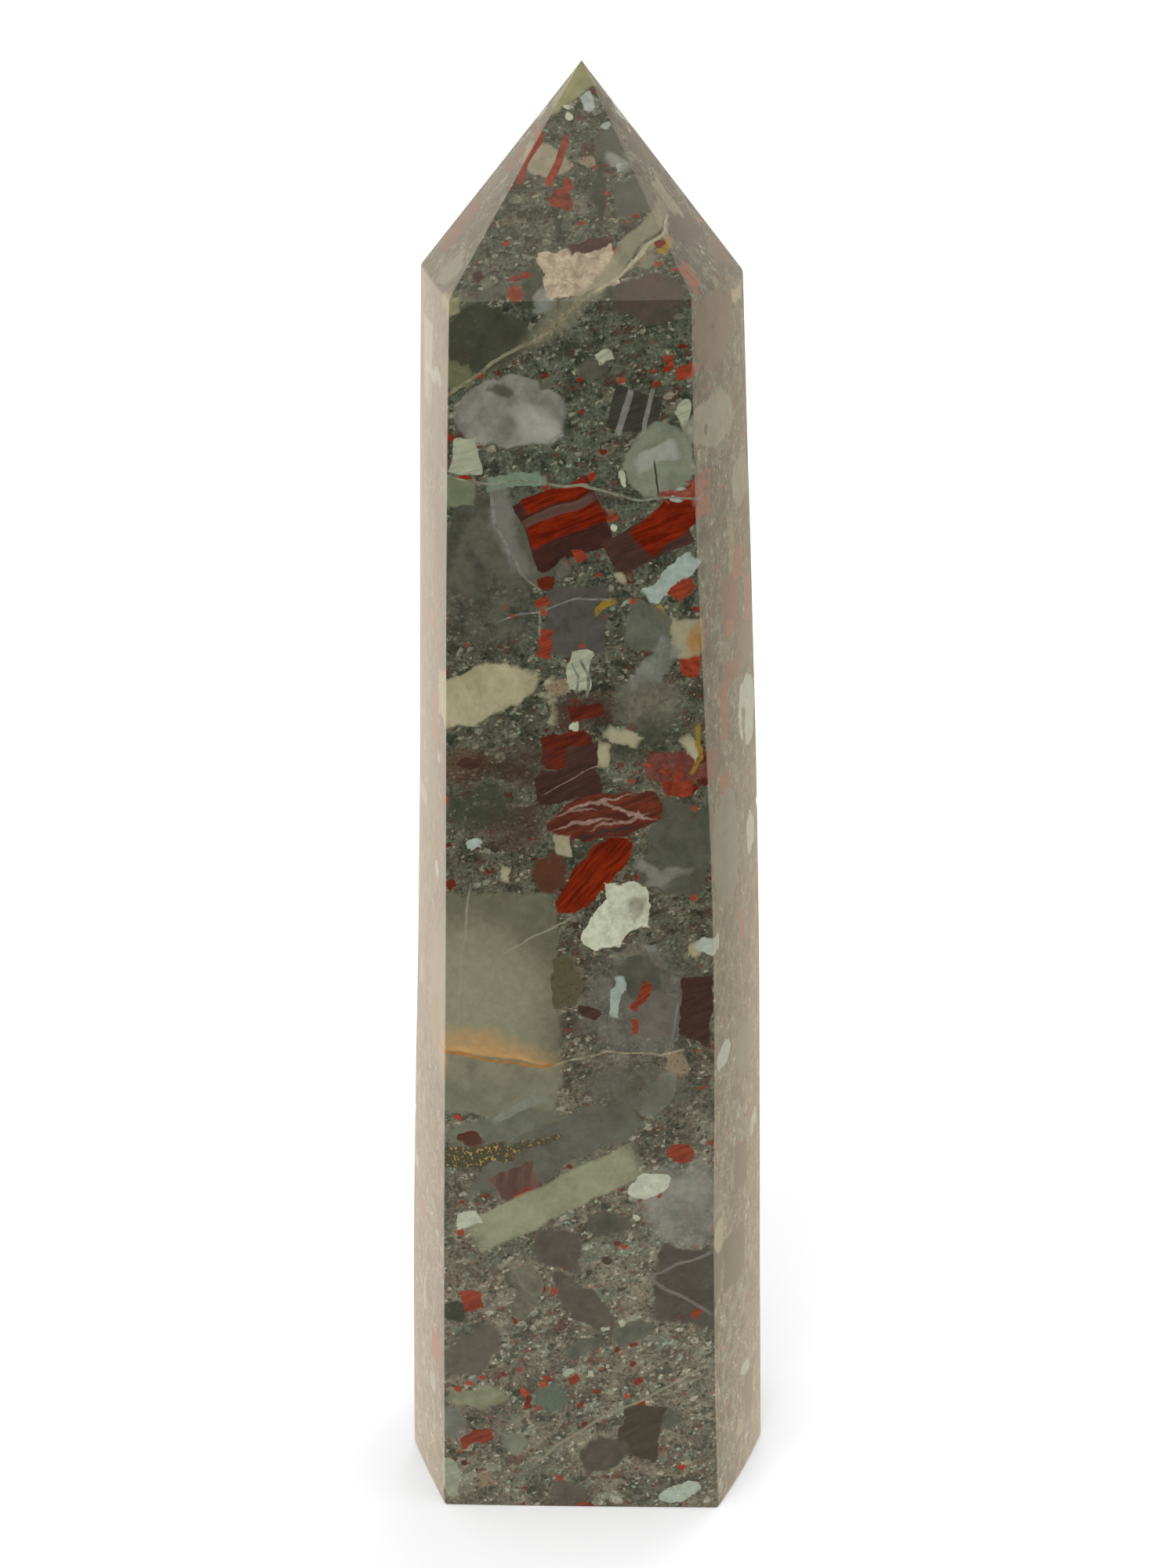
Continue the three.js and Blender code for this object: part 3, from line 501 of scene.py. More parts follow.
    on_side("pink streak by the stripes", -12.5, 234.0, 4.1, SIDE_ROSE, BLOCK, -5.9, 2.0),
    on_side("pale streak on the left of the point", -15.7, 232.7, 8.1, CREAM, BLOCK, 4.9, 1.2),
    on_side("green foot of the left of the point", -22.8, 217.7, 4.0, SAGE, PEBBLE, -17.8, 4.3),
)

CHIPS = (
    Chip(-3.5, 241.3, 1.5, WHITE),
    Chip(-3.5, 242.7, 1.1, WHITE),
    Chip(5.1, 234.5, 1.5, MINT),
    Chip(2.6, 239.9, 1.5, MINT),
    Chip(3.1, 230.2, 1.2, RED),
    Chip(7.3, 225.9, 0.7, RED),
    Chip(-9.8, 230.5, 0.7, RED),
    Chip(11.9, 223.0, 1.4, DEEP_RED),
    Chip(-2.9, 202.5, 1.3, CREAM),
    Chip(-3.1, 203.9, 1.2, DEEP_RED),
    Chip(5.6, 201.0, 1.5, RED),
    Chip(3.1, 189.2, 1.4, DEEP_RED),
    Chip(-11.3, 188.4, 1.1, RED),
    Chip(3.9, 176.6, 1.1, WHITE),
    Chip(-7.4, 161.9, 1.3, RED),
    Chip(-13.3, 160.6, 1.1, RED),
    Chip(7.5, 162.6, 1.2, RED),
    Chip(-1.2, 155.7, 1.1, RED),
    Chip(-20.9, 156.5, 1.1, RED),
    Chip(7.2, 131.9, 1.3, RED),
    Chip(9.8, 135.1, 1.2, RED),
    Chip(-13.4, 130.4, 1.2, RED),
    Chip(-24.0, 129.0, 1.5, RED),
    Chip(17.9, 127.6, 1.0, RED),
    Chip(-1.5, 106.6, 1.1, RED),
    Chip(18.1, 111.4, 1.2, RED),
    Chip(-23.3, 113.8, 1.8, DEEP_RED),
    Chip(-21.4, 51.1, 1.5, RED),
    Chip(8.0, 53.6, 1.5, WHITE),
    Chip(12.3, 57.5, 1.0, RED),
    Chip(-5.8, 40.7, 1.3, RED),
    Chip(1.4, 41.3, 1.0, RED),
    Chip(6.1, 42.7, 0.8, RED),
    Chip(15.2, 35.5, 1.1, RED),
    Chip(1.9, 28.8, 1.0, RED),
    Chip(-5.3, 24.0, 1.2, RED),
    Chip(-11.7, 25.1, 1.0, RED),
    Chip(-18.3, 24.1, 1.1, RED),
    Chip(-22.0, 21.6, 1.3, RED),
    Chip(-10.9, 20.1, 1.3, DEEP_RED),
    Chip(2.9, 20.3, 1.0, DEEP_RED),
    Chip(17.4, 21.0, 1.1, RED),
    Chip(-0.5, 15.4, 1.0, DEEP_RED),
    Chip(-5.1, 5.3, 1.5, RED),
    Chip(10.8, 7.2, 1.2, RED),
    Chip(-0.8, 6.1, 1.0, RED),
    Chip(-21.3, 8.2, 1.4, MAROON),
)


@dataclass(frozen=True)
class Vein:
    """A thin vein across the front: its width, its mineral, the points across and up that it runs
    through, and how far it covers what is under it."""

    name: str
    width: float
    mineral: Mineral
    points: tuple[tuple[float, float], ...]
    cover: float = 1.0

    def stretches(self) -> list[Fragment]:
        """Takes the vein apart.

        Returns:
            One slim fragment for each stretch from point to point.
        """
        laid = []
        for (x, z), (next_x, next_z) in zip(self.points, self.points[1:]):
            length = math.hypot(next_x - x, next_z - z) + self.width
            rise = math.degrees(math.atan2(next_z - z, next_x - x))
            middle = ((x + next_x) / 2, (z + next_z) / 2)
            size = (length, self.width, rise)
            laid.append(Fragment(self.name, *middle, *size, self.mineral, VEIN, cover=self.cover))
        return laid


VEINS = (
    Vein(
        "tan vein", 0.55, TAN_LINE,
        ((13.0, 225.1), (12.5, 224.1), (8.7, 220.4), (3.8, 217.7), (-0.1, 215.3), (-3.5, 212.7),
         (-7.0, 209.2), (-11.8, 206.9), (-23.0, 199.0)),
    ),
    Vein(
        "cream veil over the tan vein", 2.3, CREAM_GLASS,
        ((13.2, 231.6), (12.6, 228.3), (10.3, 225.4), (7.4, 222.6), (4.6, 219.8), (1.6, 217.0)),
        0.7,
    ),
    Vein(
        "cream edge", 0.45, CREAM_EDGE,
        ((13.3, 228.5), (12.3, 224.6), (9.0, 221.4), (4.9, 218.2), (1.4, 216.2)),
    ),
    Vein(
        "green vein", 0.40, LINE_GREEN,
        ((-24.1, 185.7), (-23.1, 185.3), (-17.3, 184.1), (-8.5, 184.1), (-0.9, 183.4), (3.8, 181.6),
         (8.4, 181.2), (18.0, 180.9)),
    ),
    Vein("crescent", 0.55, LINE_WHITE, ((-16.2, 183.4), (-15.4, 177.6), (-13.4, 172.2), (-11.2, 169.0))),
    Vein("foot of the crescent", 0.35, LILAC_LINE, ((-11.2, 169.0), (-9.6, 167.4), (-8.1, 166.3)), 0.6),
    Vein(
        "orange line", 0.55, ORANGE_LINE,
        ((-25.5, 84.1), (-24.4, 84.0), (-20.1, 83.0), (-15.0, 82.4), (-6.0, 81.9)),
    ),
    Vein(
        "cream line", 0.35, LINE_CREAM,
        ((-6.0, 81.9), (-0.9, 83.2), (3.5, 84.4), (12.6, 83.2), (16.5, 84.4)),
    ),
    Vein("low vein", 0.45, PALE_LINE, ((20.1, 26.2), (4.8, 17.8), (-5.2, 11.7), (-9.6, 7.9)), 0.6),
    Vein("red stripe 1", 0.9, ORANGE_RED, ((-8.2, 239.1), (-9.6, 235.9), (-11.0, 232.6))),
    Vein("red stripe 2", 1.1, ORANGE_RED, ((-4.2, 238.4), (-5.0, 235.3), (-6.4, 232.2))),
    Vein("pale stripe 1", 1.0, LINE_WHITE, ((6.9, 198.9), (6.0, 196.0), (5.2, 192.9)), 0.8),
    Vein("pale stripe 2", 0.8, LINE_WHITE, ((10.9, 199.3), (9.9, 196.0), (9.0, 192.4)), 0.8),
    Vein("arc in the slate", 0.3, LINE_WHITE, ((-14.4, 160.4), (-6.3, 162.7), (-1.6, 164.0), (3.0, 163.7))),
    Vein("line in the sage clast", 0.3, BLACK_GREEN, ((11.5, 187.3), (11.5, 184.2), (11.7, 181.7))),
    Vein("white line in the slate gap", 0.35, LINE_WHITE, ((-8.4, 161.8), (-8.1, 160.4), (-8.1, 158.3))),
    Vein(
        "dotted line", 0.35, PALE_LINE,
        ((-20.2, 112.4), (-21.1, 106.8), (-21.4, 101.0), (-21.8, 94.9), (-22.0, 88.2)),
        0.55,
    ),
    Vein("line in the chalcedony", 0.3, PALE_LINE, ((-13.9, 101.9), (-9.9, 104.8), (-3.2, 107.6)), 0.55),
    Vein("light streak in the mauve block", 0.6, MAUVE_LIGHT, ((10.6, 42.7), (15.0, 40.1), (21.0, 36.6))),
    Vein("upper streak in the mauve block", 0.45, MAUVE_LIGHT, ((11.1, 43.0), (15.7, 45.6), (21.0, 47.5))),
    Vein("striped line 1", 0.5, LINE_WHITE, ((-1.1, 153.4), (0.3, 150.7), (-0.3, 147.5))),
    Vein("striped line 2", 0.4, LINE_WHITE, ((-2.6, 152.8), (-1.6, 150.4), (-2.1, 147.9))),
    Vein(
        "golden line on the right edge", 0.7, OCHRE,
        ((18.8, 141.4), (18.1, 138.6), (18.9, 136.4), (17.7, 133.8)),
    ),
    Vein("pink line in the red clast", 0.2, PINK_WHITE, ((-6.6, 130.4), (-1.3, 133.1), (2.0, 135.1)), 0.7),
    Vein("lilac streak at the right", 0.5, LILAC_LINE, ((15.5, 92.5), (15.1, 89.1), (14.8, 85.7)), 0.7),
)


@dataclass(frozen=True)
class Zone:
    """A stretch of the stone's skin that has a material of its own: its name, its lowest and highest
    height, and whether it lies towards the front. The pattern is the same on both sides of a border, but
    each material holds only the fragments that reach its zone, so that it renders quickly."""

    name: str
    low: float
    high: float
    front: bool

    def holds(self, piece: Fragment | Chip) -> bool:
        """Whether a fragment or chip reaches the zone."""
        reach = piece.reach * HAZE_SPREAD + ZONE_MARGIN
        return self.low - reach < piece.z < self.high + reach and (self.front or piece.y is not None)


# How far past its own reach a fragment counts as reaching a zone: a haze spreads by a share, noise moves
# any fragment by a little.
HAZE_SPREAD = 1.25
ZONE_MARGIN = 2.0
# The front zones end at this depth, which shrinks to nothing over the point.
FRONT_DEPTH = -12.0
APEX_HEIGHT = 250.0
POINT_HEIGHT = 35.0
ZONES = (
    Zone("foot", -1.0, 30.0, True),
    Zone("low", 30.0, 62.0, True),
    Zone("below the middle", 62.0, 94.0, True),
    Zone("middle", 94.0, 126.0, True),
    Zone("above the middle", 126.0, 158.0, True),
    Zone("high", 158.0, 190.0, True),
    Zone("shoulder", 190.0, 217.0, True),
    Zone("point", 217.0, 251.0, True),
    Zone("round the back", -1.0, 251.0, False),
)


# The stone's shape

@dataclass(frozen=True)
class Edge:
    """One upright edge: where it meets the underside and the shoulder, how far it bows sideways as three
    sine waves of one, two and three humps, and how far the side after it stands out at its middle."""

    foot: tuple[float, float]
    shoulder: tuple[float, float, float]
    bow: tuple[float, float, float]
    belly: float


@dataclass(frozen=True)
class Nick:
    """A small chip knocked off an upright edge: the edge's number, its height, its reach and its depth."""

    edge: int
    height: float
    reach: float
    depth: float


EDGES = (
    Edge(foot=(-31.25, -1.8), shoulder=(-28.4, 0.0, 215.2), bow=(0.04, -0.22, -0.18), belly=0.2),
    Edge(foot=(-25.1, -29.5), shoulder=(-22.9, -28.2, 215.0), bow=(-0.3, 0.0, -0.09), belly=0.25),
    Edge(foot=(22.7, -30.9), shoulder=(17.0, -26.7, 215.1), bow=(0.87, 0.08, -0.44), belly=0.5),
    Edge(foot=(31.25, 1.8), shoulder=(26.3, 0.0, 214.2), bow=(0.97, -0.04, -0.1), belly=0.3),
    Edge(foot=(23.8, 30.2), shoulder=(18.6, 27.0, 214.6), bow=(0.5, 0.1, 0.0), belly=0.3),
    Edge(foot=(-24.0, 30.9), shoulder=(-21.6, 27.7, 215.3), bow=(-0.3, -0.1, 0.0), belly=0.3),
)

LEFT, FRONT_LEFT, FRONT_RIGHT, RIGHT, BACK_RIGHT, BACK_LEFT = range(len(EDGES))
NICKS = (
    Nick(FRONT_RIGHT, 202.0, 1.3, 0.30),
    Nick(FRONT_RIGHT, 199.6, 0.8, 0.22),
    Nick(FRONT_RIGHT, 193.4, 1.2, 0.28),
    Nick(FRONT_RIGHT, 187.3, 1.0, 0.25),
    Nick(FRONT_RIGHT, 180.6, 0.9, 0.22),
    Nick(FRONT_LEFT, 2.4, 1.2, 0.35),
    Nick(FRONT_RIGHT, 1.6, 1.4, 0.40),
    Nick(FRONT_RIGHT, 38.0, 0.9, 0.22),
    Nick(RIGHT, 120.0, 1.0, 0.25),
    Nick(LEFT, 64.0, 0.9, 0.20),
    Nick(BACK_RIGHT, 150.0, 1.1, 0.25),
    Nick(BACK_LEFT, 40.0, 1.2, 0.30),
)


@dataclass
class StoneShape:
    """The obelisk's skin: six bowed upright edges, six slightly bellied sides and a six-sided point.

    setback is how far a side's softened end reaches, and at most most_setback of the side. wave is the
    height of the unevenness, wave_runs its lengths up and across in its two parts, and it fades out over
    foot_fade at the foot and tip_fade at the tip.
    """

    height: float
    apex_offset: float = -1.1
    setback: float = 0.35
    most_setback: float = 0.25
    softening: float = 0.5
    bevel: float = 0.5
    blunting: float = 0.012
    wave: float = 0.03
    wave_runs: tuple[float, float, float, float] = (9.0, 6.0, 17.0, 8.0)
    foot_fade: float = 3.0
    tip_fade: float = 12.0
    body_rows: int = 400
    point_rows: int = 64
    turn_rows: int = 8
    corner_steps: int = 5
    face_steps: int = 26
    edges: tuple[Edge, ...] = EDGES
    nicks: tuple[Nick, ...] = NICKS

    def __post_init__(self) -> None:
        """Lays the edges' numbers out as arrays."""
        self.foot = np.array([edge.foot for edge in self.edges])
        self.shoulder = np.array([edge.shoulder for edge in self.edges])
        self.bow = np.array([edge.bow for edge in self.edges])
        self.belly = np.array([edge.belly for edge in self.edges])
        self.apex = np.array([self.apex_offset, 0.0, self.height])

    def body_corners(self, share: np.ndarray) -> np.ndarray:
        """Places on the upright edges.

        Straight from the foot to the shoulder, plus sideways the sum over k = 1, 2, 3 of bow k times
        sin(k pi share).

        Args:
            share: How far up each edge, from 0 to 1, as rows by edges.

        Returns:
            Places in millimetres, as rows by edges by three.
        """
        place = np.empty(share.shape + (3,))
        place[..., :2] = self.foot + (self.shoulder[:, :2] - self.foot) * share[..., None]
        humps = np.sin(np.pi * share[..., None] * np.arange(1, 4))
        place[..., 0] += (humps * self.bow).sum(axis=-1)
        place[..., 2] = self.shoulder[:, 2] * share
        return place

    def point_corners(self, share: np.ndarray) -> np.ndarray:
        """Places on the sloping edges, straight from the shoulder (share 0) to the apex (share 1)."""
        return self.shoulder + (self.apex - self.shoulder) * share[..., None]

    @staticmethod
    def soft_corner(start: np.ndarray, corner: np.ndarray, end: np.ndarray, u: np.ndarray) -> np.ndarray:
        """The quadratic curve (1-u)^2 start + 2u(1-u) corner + u^2 end."""
        return (1 - u) ** 2 * start + 2 * u * (1 - u) * corner + u**2 * end

    def loops_through(self, corners: np.ndarray, fullness: np.ndarray) -> np.ndarray:
        """Closed loops round the stone, with softened corners and bellied sides.

        A side's place at a share u along it stands out by belly times fullness times 4u(1-u). The shares are
        (1 - cos(pi k / n)) / 2, so they crowd towards the corners.

        Args:
            corners: The loops' corner places, as rows by edges by three.
            fullness: How much of its belly each row has.

        Returns:
            Places, as rows by places round by three.
        """
        before = np.roll(corners, 1, axis=1) - corners
        after = np.roll(corners, -1, axis=1) - corners
        gap_before = np.linalg.norm(before, axis=2, keepdims=True)
        gap_after = np.linalg.norm(after, axis=2, keepdims=True)
        start = corners + before * np.minimum(self.setback / gap_before, self.most_setback)
        end = corners + after * np.minimum(self.setback / gap_after, self.most_setback)
        turn = np.linspace(0, 1, self.corner_steps + 1)[:, None]
        turns = self.soft_corner(start[:, :, None], corners[:, :, None], end[:, :, None], turn)
        following = np.roll(start, -1, axis=1)
        way = following - end
        outward = np.stack([way[..., 1], -way[..., 0], np.zeros(way.shape[:2])], axis=-1)
        outward /= np.linalg.norm(outward, axis=2, keepdims=True)
        u = (1 - np.cos(np.pi * np.arange(1, self.face_steps) / self.face_steps)) / 2
        swell = self.belly[None, :, None] * fullness[:, None, None] * 4 * u * (1 - u)
        along = end[:, :, None] + way[:, :, None] * u[:, None]
        sides = along + outward[:, :, None] * swell[..., None]
        return np.concatenate([turns, sides], axis=2).reshape(len(corners), -1, 3)

    def base_loops(self) -> np.ndarray:
        """The rounded bottom edge: the foot loop drawn in by bevel (1 - sin a), at height
        bevel (1 - cos a).

        Returns:
            Places, as rows by places round by three.
        """
        corners = self.body_corners(np.zeros((1, len(self.edges))))
        foot = self.loops_through(corners, np.ones(1))[0]
        angle = np.linspace(0, np.pi / 2, self.turn_rows, endpoint=False)[:, None]
        radius = np.hypot(foot[:, 0], foot[:, 1])
        share = 1 - self.bevel * (1 - np.sin(angle)) / radius
        loops = np.empty((self.turn_rows, len(foot), 3))
        loops[..., 0] = foot[:, 0] * share
        loops[..., 1] = foot[:, 1] * share
        loops[..., 2] = self.bevel * (1 - np.cos(angle))
        return loops

    def body_loops(self) -> np.ndarray:
        """The long body, from above the bottom rounding to below the shoulder's softening.

        Returns:
            Places, as rows by places round by three.
        """
        first = self.bevel / self.shoulder[:, 2]
        last = 1 - self.softening / self.shoulder[:, 2]
        up = np.linspace(0, 1, self.body_rows, endpoint=False)[:, None]
        corners = self.body_corners(first + (last - first) * up)
        return self.loops_through(corners, np.ones(self.body_rows))

    def shoulder_loops(self) -> np.ndarray:
        """The softened shoulder: each edge turns into the point on a quadratic curve.

        Returns:
            Places, as rows by places round by three.
        """
        edge_share = 1 - self.softening / self.shoulder[:, 2]
        below = self.body_corners(edge_share[None])
        slope = np.linalg.norm(self.apex - self.shoulder, axis=1)
        above = self.point_corners((self.softening / slope)[None])
        u = np.linspace(0, 1, self.turn_rows + 1)[:, None, None]
        corners = self.soft_corner(below, self.shoulder[None], above, u)
        return self.loops_through(corners, np.ones(len(corners)))

    def point_loops(self) -> np.ndarray:
        """The point, up to the blunted tip, its sides growing flat towards the apex.

        Returns:
            Places, as rows by places round by three.
        """
        share = np.arange(1, self.point_rows + 1) / self.point_rows * (1 - self.blunting)
        corners = self.point_corners(np.repeat(share[:, None], len(self.edges), axis=1))
        return self.loops_through(corners, 1 - share)

    def hand_ground(self, places: np.ndarray) -> np.ndarray:
        """Adds what grinding and use leave: a slight wave in the polish, and the nicks.

        The wave moves a place outwards by wave times sin(z/a + x/b) cos(z/c - y/d), where a to d are its
        runs. A nick draws places within its reach r0 in by depth times (1 - (r/r0)^2)^2.

        Args:
            places: The skin's places, as rows by places round by three.

        Returns:
            The moved places.
        """
        x, y, z = np.moveaxis(places, -1, 0)
        outward = np.stack([x, y, np.zeros_like(x)], axis=-1)
        outward /= np.maximum(np.linalg.norm(outward, axis=-1, keepdims=True), LEAST_LENGTH)
        fade = np.clip(z / self.foot_fade, 0, 1) * np.clip((self.height - z) / self.tip_fade, 0, 1)
        a, b, c, d = self.wave_runs
        wave = self.wave * fade * np.sin(z / a + x / b) * np.cos(z / c - y / d)
        moved = places + outward * wave[..., None]
        for nick in self.nicks:
            share = np.full((1, len(self.edges)), nick.height / self.shoulder[nick.edge, 2])
            middle = self.body_corners(share)[0, nick.edge]
            near = np.clip(1 - ((places - middle) ** 2).sum(axis=-1) / nick.reach**2, 0, 1)
            moved -= outward * (nick.depth * near**2)[..., None]
        return moved

    def skin(self) -> tuple[np.ndarray, np.ndarray, np.ndarray]:
        """Works out the whole skin.

        Returns:
            Places in millimetres, the four-sided faces, and the three-sided faces that close both ends.
        """
        rings = (self.base_loops(), self.body_loops(), self.shoulder_loops(), self.point_loops())
        places = self.hand_ground(np.concatenate(rings))
        rows, round_count = places.shape[:2]
        index = np.arange(rows * round_count).reshape(rows, round_count)
        low, high = index[:-1], index[1:]
        quads = np.stack([low, np.roll(low, -1, axis=1), np.roll(high, -1, axis=1), high], axis=-1)
        bottom = rows * round_count
        tip = bottom + 1
        first, last = index[0], index[-1]
        under = np.stack([np.full(round_count, bottom), np.roll(first, -1), first], axis=-1)
        cap = np.stack([np.full(round_count, tip), last, np.roll(last, -1)], axis=-1)
        flat = places.reshape(-1, 3)
        middle = (flat.min(axis=0) + flat.max(axis=0)) / 2
        ends = np.array([[0.0, 0.0, 0.0], self.apex])
        points = np.concatenate([flat, ends])
        points[:, :2] -= middle[:2]
        return points, quads.reshape(-1, 4), np.concatenate([under, cap])

    @staticmethod
    def zone_numbers(middles: np.ndarray, zones: tuple[Zone, ...]) -> np.ndarray:
        """Finds which zone each face is in: the rear zone, or the front zone of its height.

        Args:
            middles: The faces' middles.
            zones: The zones, the rear one last.

        Returns:
            Each face's zone, as its number.
        """
        number = np.full(len(middles), len(zones) - 1)
        border = FRONT_DEPTH * np.clip((APEX_HEIGHT - middles[:, 2]) / POINT_HEIGHT, 0.0, 1.0)
        for k, zone in enumerate(zones):
            inside = (middles[:, 2] >= zone.low) & (middles[:, 2] < zone.high)
            number[inside & (middles[:, 1] < border) & zone.front] = k
        return number

    def build(self, name: str, zones: tuple[Zone, ...]) -> bpy.types.Object:
        """Makes the stone's mesh object, shaded smooth, at the origin, with each face's zone as its slot.

        Args:
            name: The object's name.
            zones: The zones.

        Returns:
            The object.
        """
        points, quads, ends = self.skin()
        mesh = bpy.data.meshes.new(name)
        mesh.from_pydata((points * MM).tolist(), [], quads.tolist() + ends.tolist())
        mesh.shade_smooth()
        middles = np.concatenate([points[quads].mean(axis=1), points[ends].mean(axis=1)])
        slots = self.zone_numbers(middles, zones).astype(np.int32)
        mesh.polygons.foreach_set("material_index", slots)
        piece = bpy.data.objects.new(name, mesh)
        bpy.context.scene.collection.objects.link(piece)
        return piece


# The crumbs of the matrix

@dataclass(frozen=True)
class Crumbs:
    """One size of crumbs: the cells' size, how far they stretch along the bedding, in depth and across it,
    the share of cells that hold a crumb, how far it covers what is under it, how soft its edge is, where
    each look starts on a draw from 0 to 1, and the least and the drawn part of its reach, as shares of the
    cell's size."""

    name: str
    size: float
    stretch: tuple[float, float, float]
    share: float
    cover: float
    softness: float
    looks: tuple[tuple[float, str], ...]
    least: float = 0.26
    drawn: float = 0.28


CRUMBS = (
    Crumbs(
        "soft lumps", 7.0, (1.5, 1.0, 0.8), 0.5, 0.5, 0.5,
        ((0.0, "3f4538"), (0.3, "565b4c"), (0.5, "625c50"), (0.7, "6b705e"), (0.88, "463f37")),
    ),
    Crumbs(
        "middling crumbs", 2.8, (1.5, 1.0, 0.8), 0.45, 0.66, 0.16,
        ((0.0, "384034"), (0.25, "626858"), (0.45, "757160"), (0.62, "4c4238"), (0.78, "80836f"),
         (0.92, "583a31")),
    ),
    Crumbs(
        "small crumbs", 1.3, (1.4, 1.0, 0.85), 0.52, 0.72, 0.08,
        ((0.0, "333a2f"), (0.24, "626859"), (0.46, "848470"), (0.60, "52453b"), (0.76, "a09c88"),
         (0.86, "663f35")),
    ),
    Crumbs(
        "fine crumbs", 0.62, (1.3, 1.0, 0.9), 0.6, 0.72, 0.06,
        ((0.0, "34372d"), (0.28, "6f705f"), (0.50, "97917b"), (0.64, "5b4a3e"), (0.78, "b0a88f"),
         (0.88, "744a3c"), (0.95, "8fa392")),
    ),
    Crumbs(
        "red crumbs", 1.5, (1.2, 1.0, 0.9), 0.06, 0.95, 0.10,
        ((0.0, "942e1b"), (0.35, "74271a"), (0.6, "a03a20"), (0.8, "62281e")),
    ),
)

# The larger fragments of the sides that the photograph doesn't show, their streaks, and the depth behind
# which they lie
REAR_LOOKS = (
    (0.0, "3f3d33"), (0.11, "5c5e50"), (0.21, "423f39"), (0.31, "7f826c"), (0.41, "8e2412"),
    (0.53, "4a2c24"), (0.63, "5a5144"), (0.71, "b0a684"), (0.77, "817d74"), (0.87, "b8b99f"),
    (0.92, "8b968a"), (0.96, "9c3a20"),
)
MIDDLING_REAR = "middling fragments round the back"
LARGE_REAR = "large fragments round the back"
REAR_FRAGMENTS = (
    Crumbs(MIDDLING_REAR, 7.5, (1.4, 1.0, 0.85), 0.5, 0.95, 0.38, REAR_LOOKS, 0.32),
    Crumbs(LARGE_REAR, 16.0, (1.3, 1.0, 0.85), 0.7, 0.95, 0.48, REAR_LOOKS, 0.42),
)
REAR_STREAK = "3c352c"
REAR_STREAK_SHARE = 0.3
REAR_BORDER = 8.5


# The noise behind the pattern

@dataclass(frozen=True)
class Lumps:
    """Noise made a mask: its lumps' size, detail and roughness, and the values of the noise at which the
    mask starts and is full."""

    size: float
    detail: float
    roughness: float
    low: float
    high: float


@dataclass(frozen=True)
class Sway:
    """Noise that moves the places which the pattern reads: its lumps' size, its detail, and its reach."""

    size: float
    detail: float
    reach: float


@dataclass(frozen=True)
class Grain:
    """Noise that makes a colour lighter and darker: its grains' size and the share that it adds and takes."""

    size: float
    share: float


FIGURE_LUMPS = {
    CLOUD: Lumps(4.0, 5.0, 0.6, 0.32, 0.68),
    MOTTLE: Lumps(1.4, 4.0, 0.65, 0.30, 0.70),
    SPECKS: Lumps(0.5, 1.0, 0.5, 0.58, 0.66),
    UPRIGHT: Lumps(1.0, 4.0, 0.6, 0.28, 0.72),
    BEDDED: Lumps(1.0, 3.0, 0.6, 0.30, 0.70),
    STEEP: Lumps(1.0, 3.0, 0.6, 0.30, 0.70),
}
BEDDED_STREAK = (6.0, 1.0, 0.7)
UPRIGHT_STREAK = (2.0, 2.0, 16.0)

BROAD_SWAY = Sway(9.0, 1.0, 2.6)
FRILL = Sway(1.3, 2.0, 1.3)
RIPPLE = Sway(4.0, 2.5, 2.8)
# How far a crumb's cell moves the outlines of fragments and of veins
FRAY = 0.36
VEIN_FRAY = 0.12

GROUND_CLOUD = Lumps(4.0, 8.0, 0.75, 0.30, 0.70)
GROUND_PATCHES = Lumps(16.0, 2.0, 0.5, 0.35, 0.65)
LOW_GROUND = ("47443a", "807a66")
HIGH_GROUND = ("30362c", "747868")
WARM_GROUND = ("473b31", "7d6f5e")
# The heights between which the ground turns green and its warm patches fade, and between which the matrix
# takes its shade
GREENER = (20.0, 200.0)
WARMTH = 0.45
WARMTH_LOST = 0.40
SHADED = (10.0, 120.0)
SHADE = (0.60, 0.59, 0.55, 1.0)
GRAIN_DETAIL = 4.0
GRAIN_ROUGHNESS = 0.6
GRAIN_RANGE = (0.3, 0.7)
MATRIX_GRAINS = (Grain(3.0, 0.10), Grain(0.5, 0.24))
# The grain of the sides, and how far a face has turned from the front where it starts and where it is full
SIDE_GRAIN = Grain(2.4, 0.6)
SIDE_TURN = (-0.6, -0.35)
LAST_GRAIN = Grain(1.2, 0.07)


# Laying nodes

MIDDLE_GREY = (0.5, 0.5, 0.5)


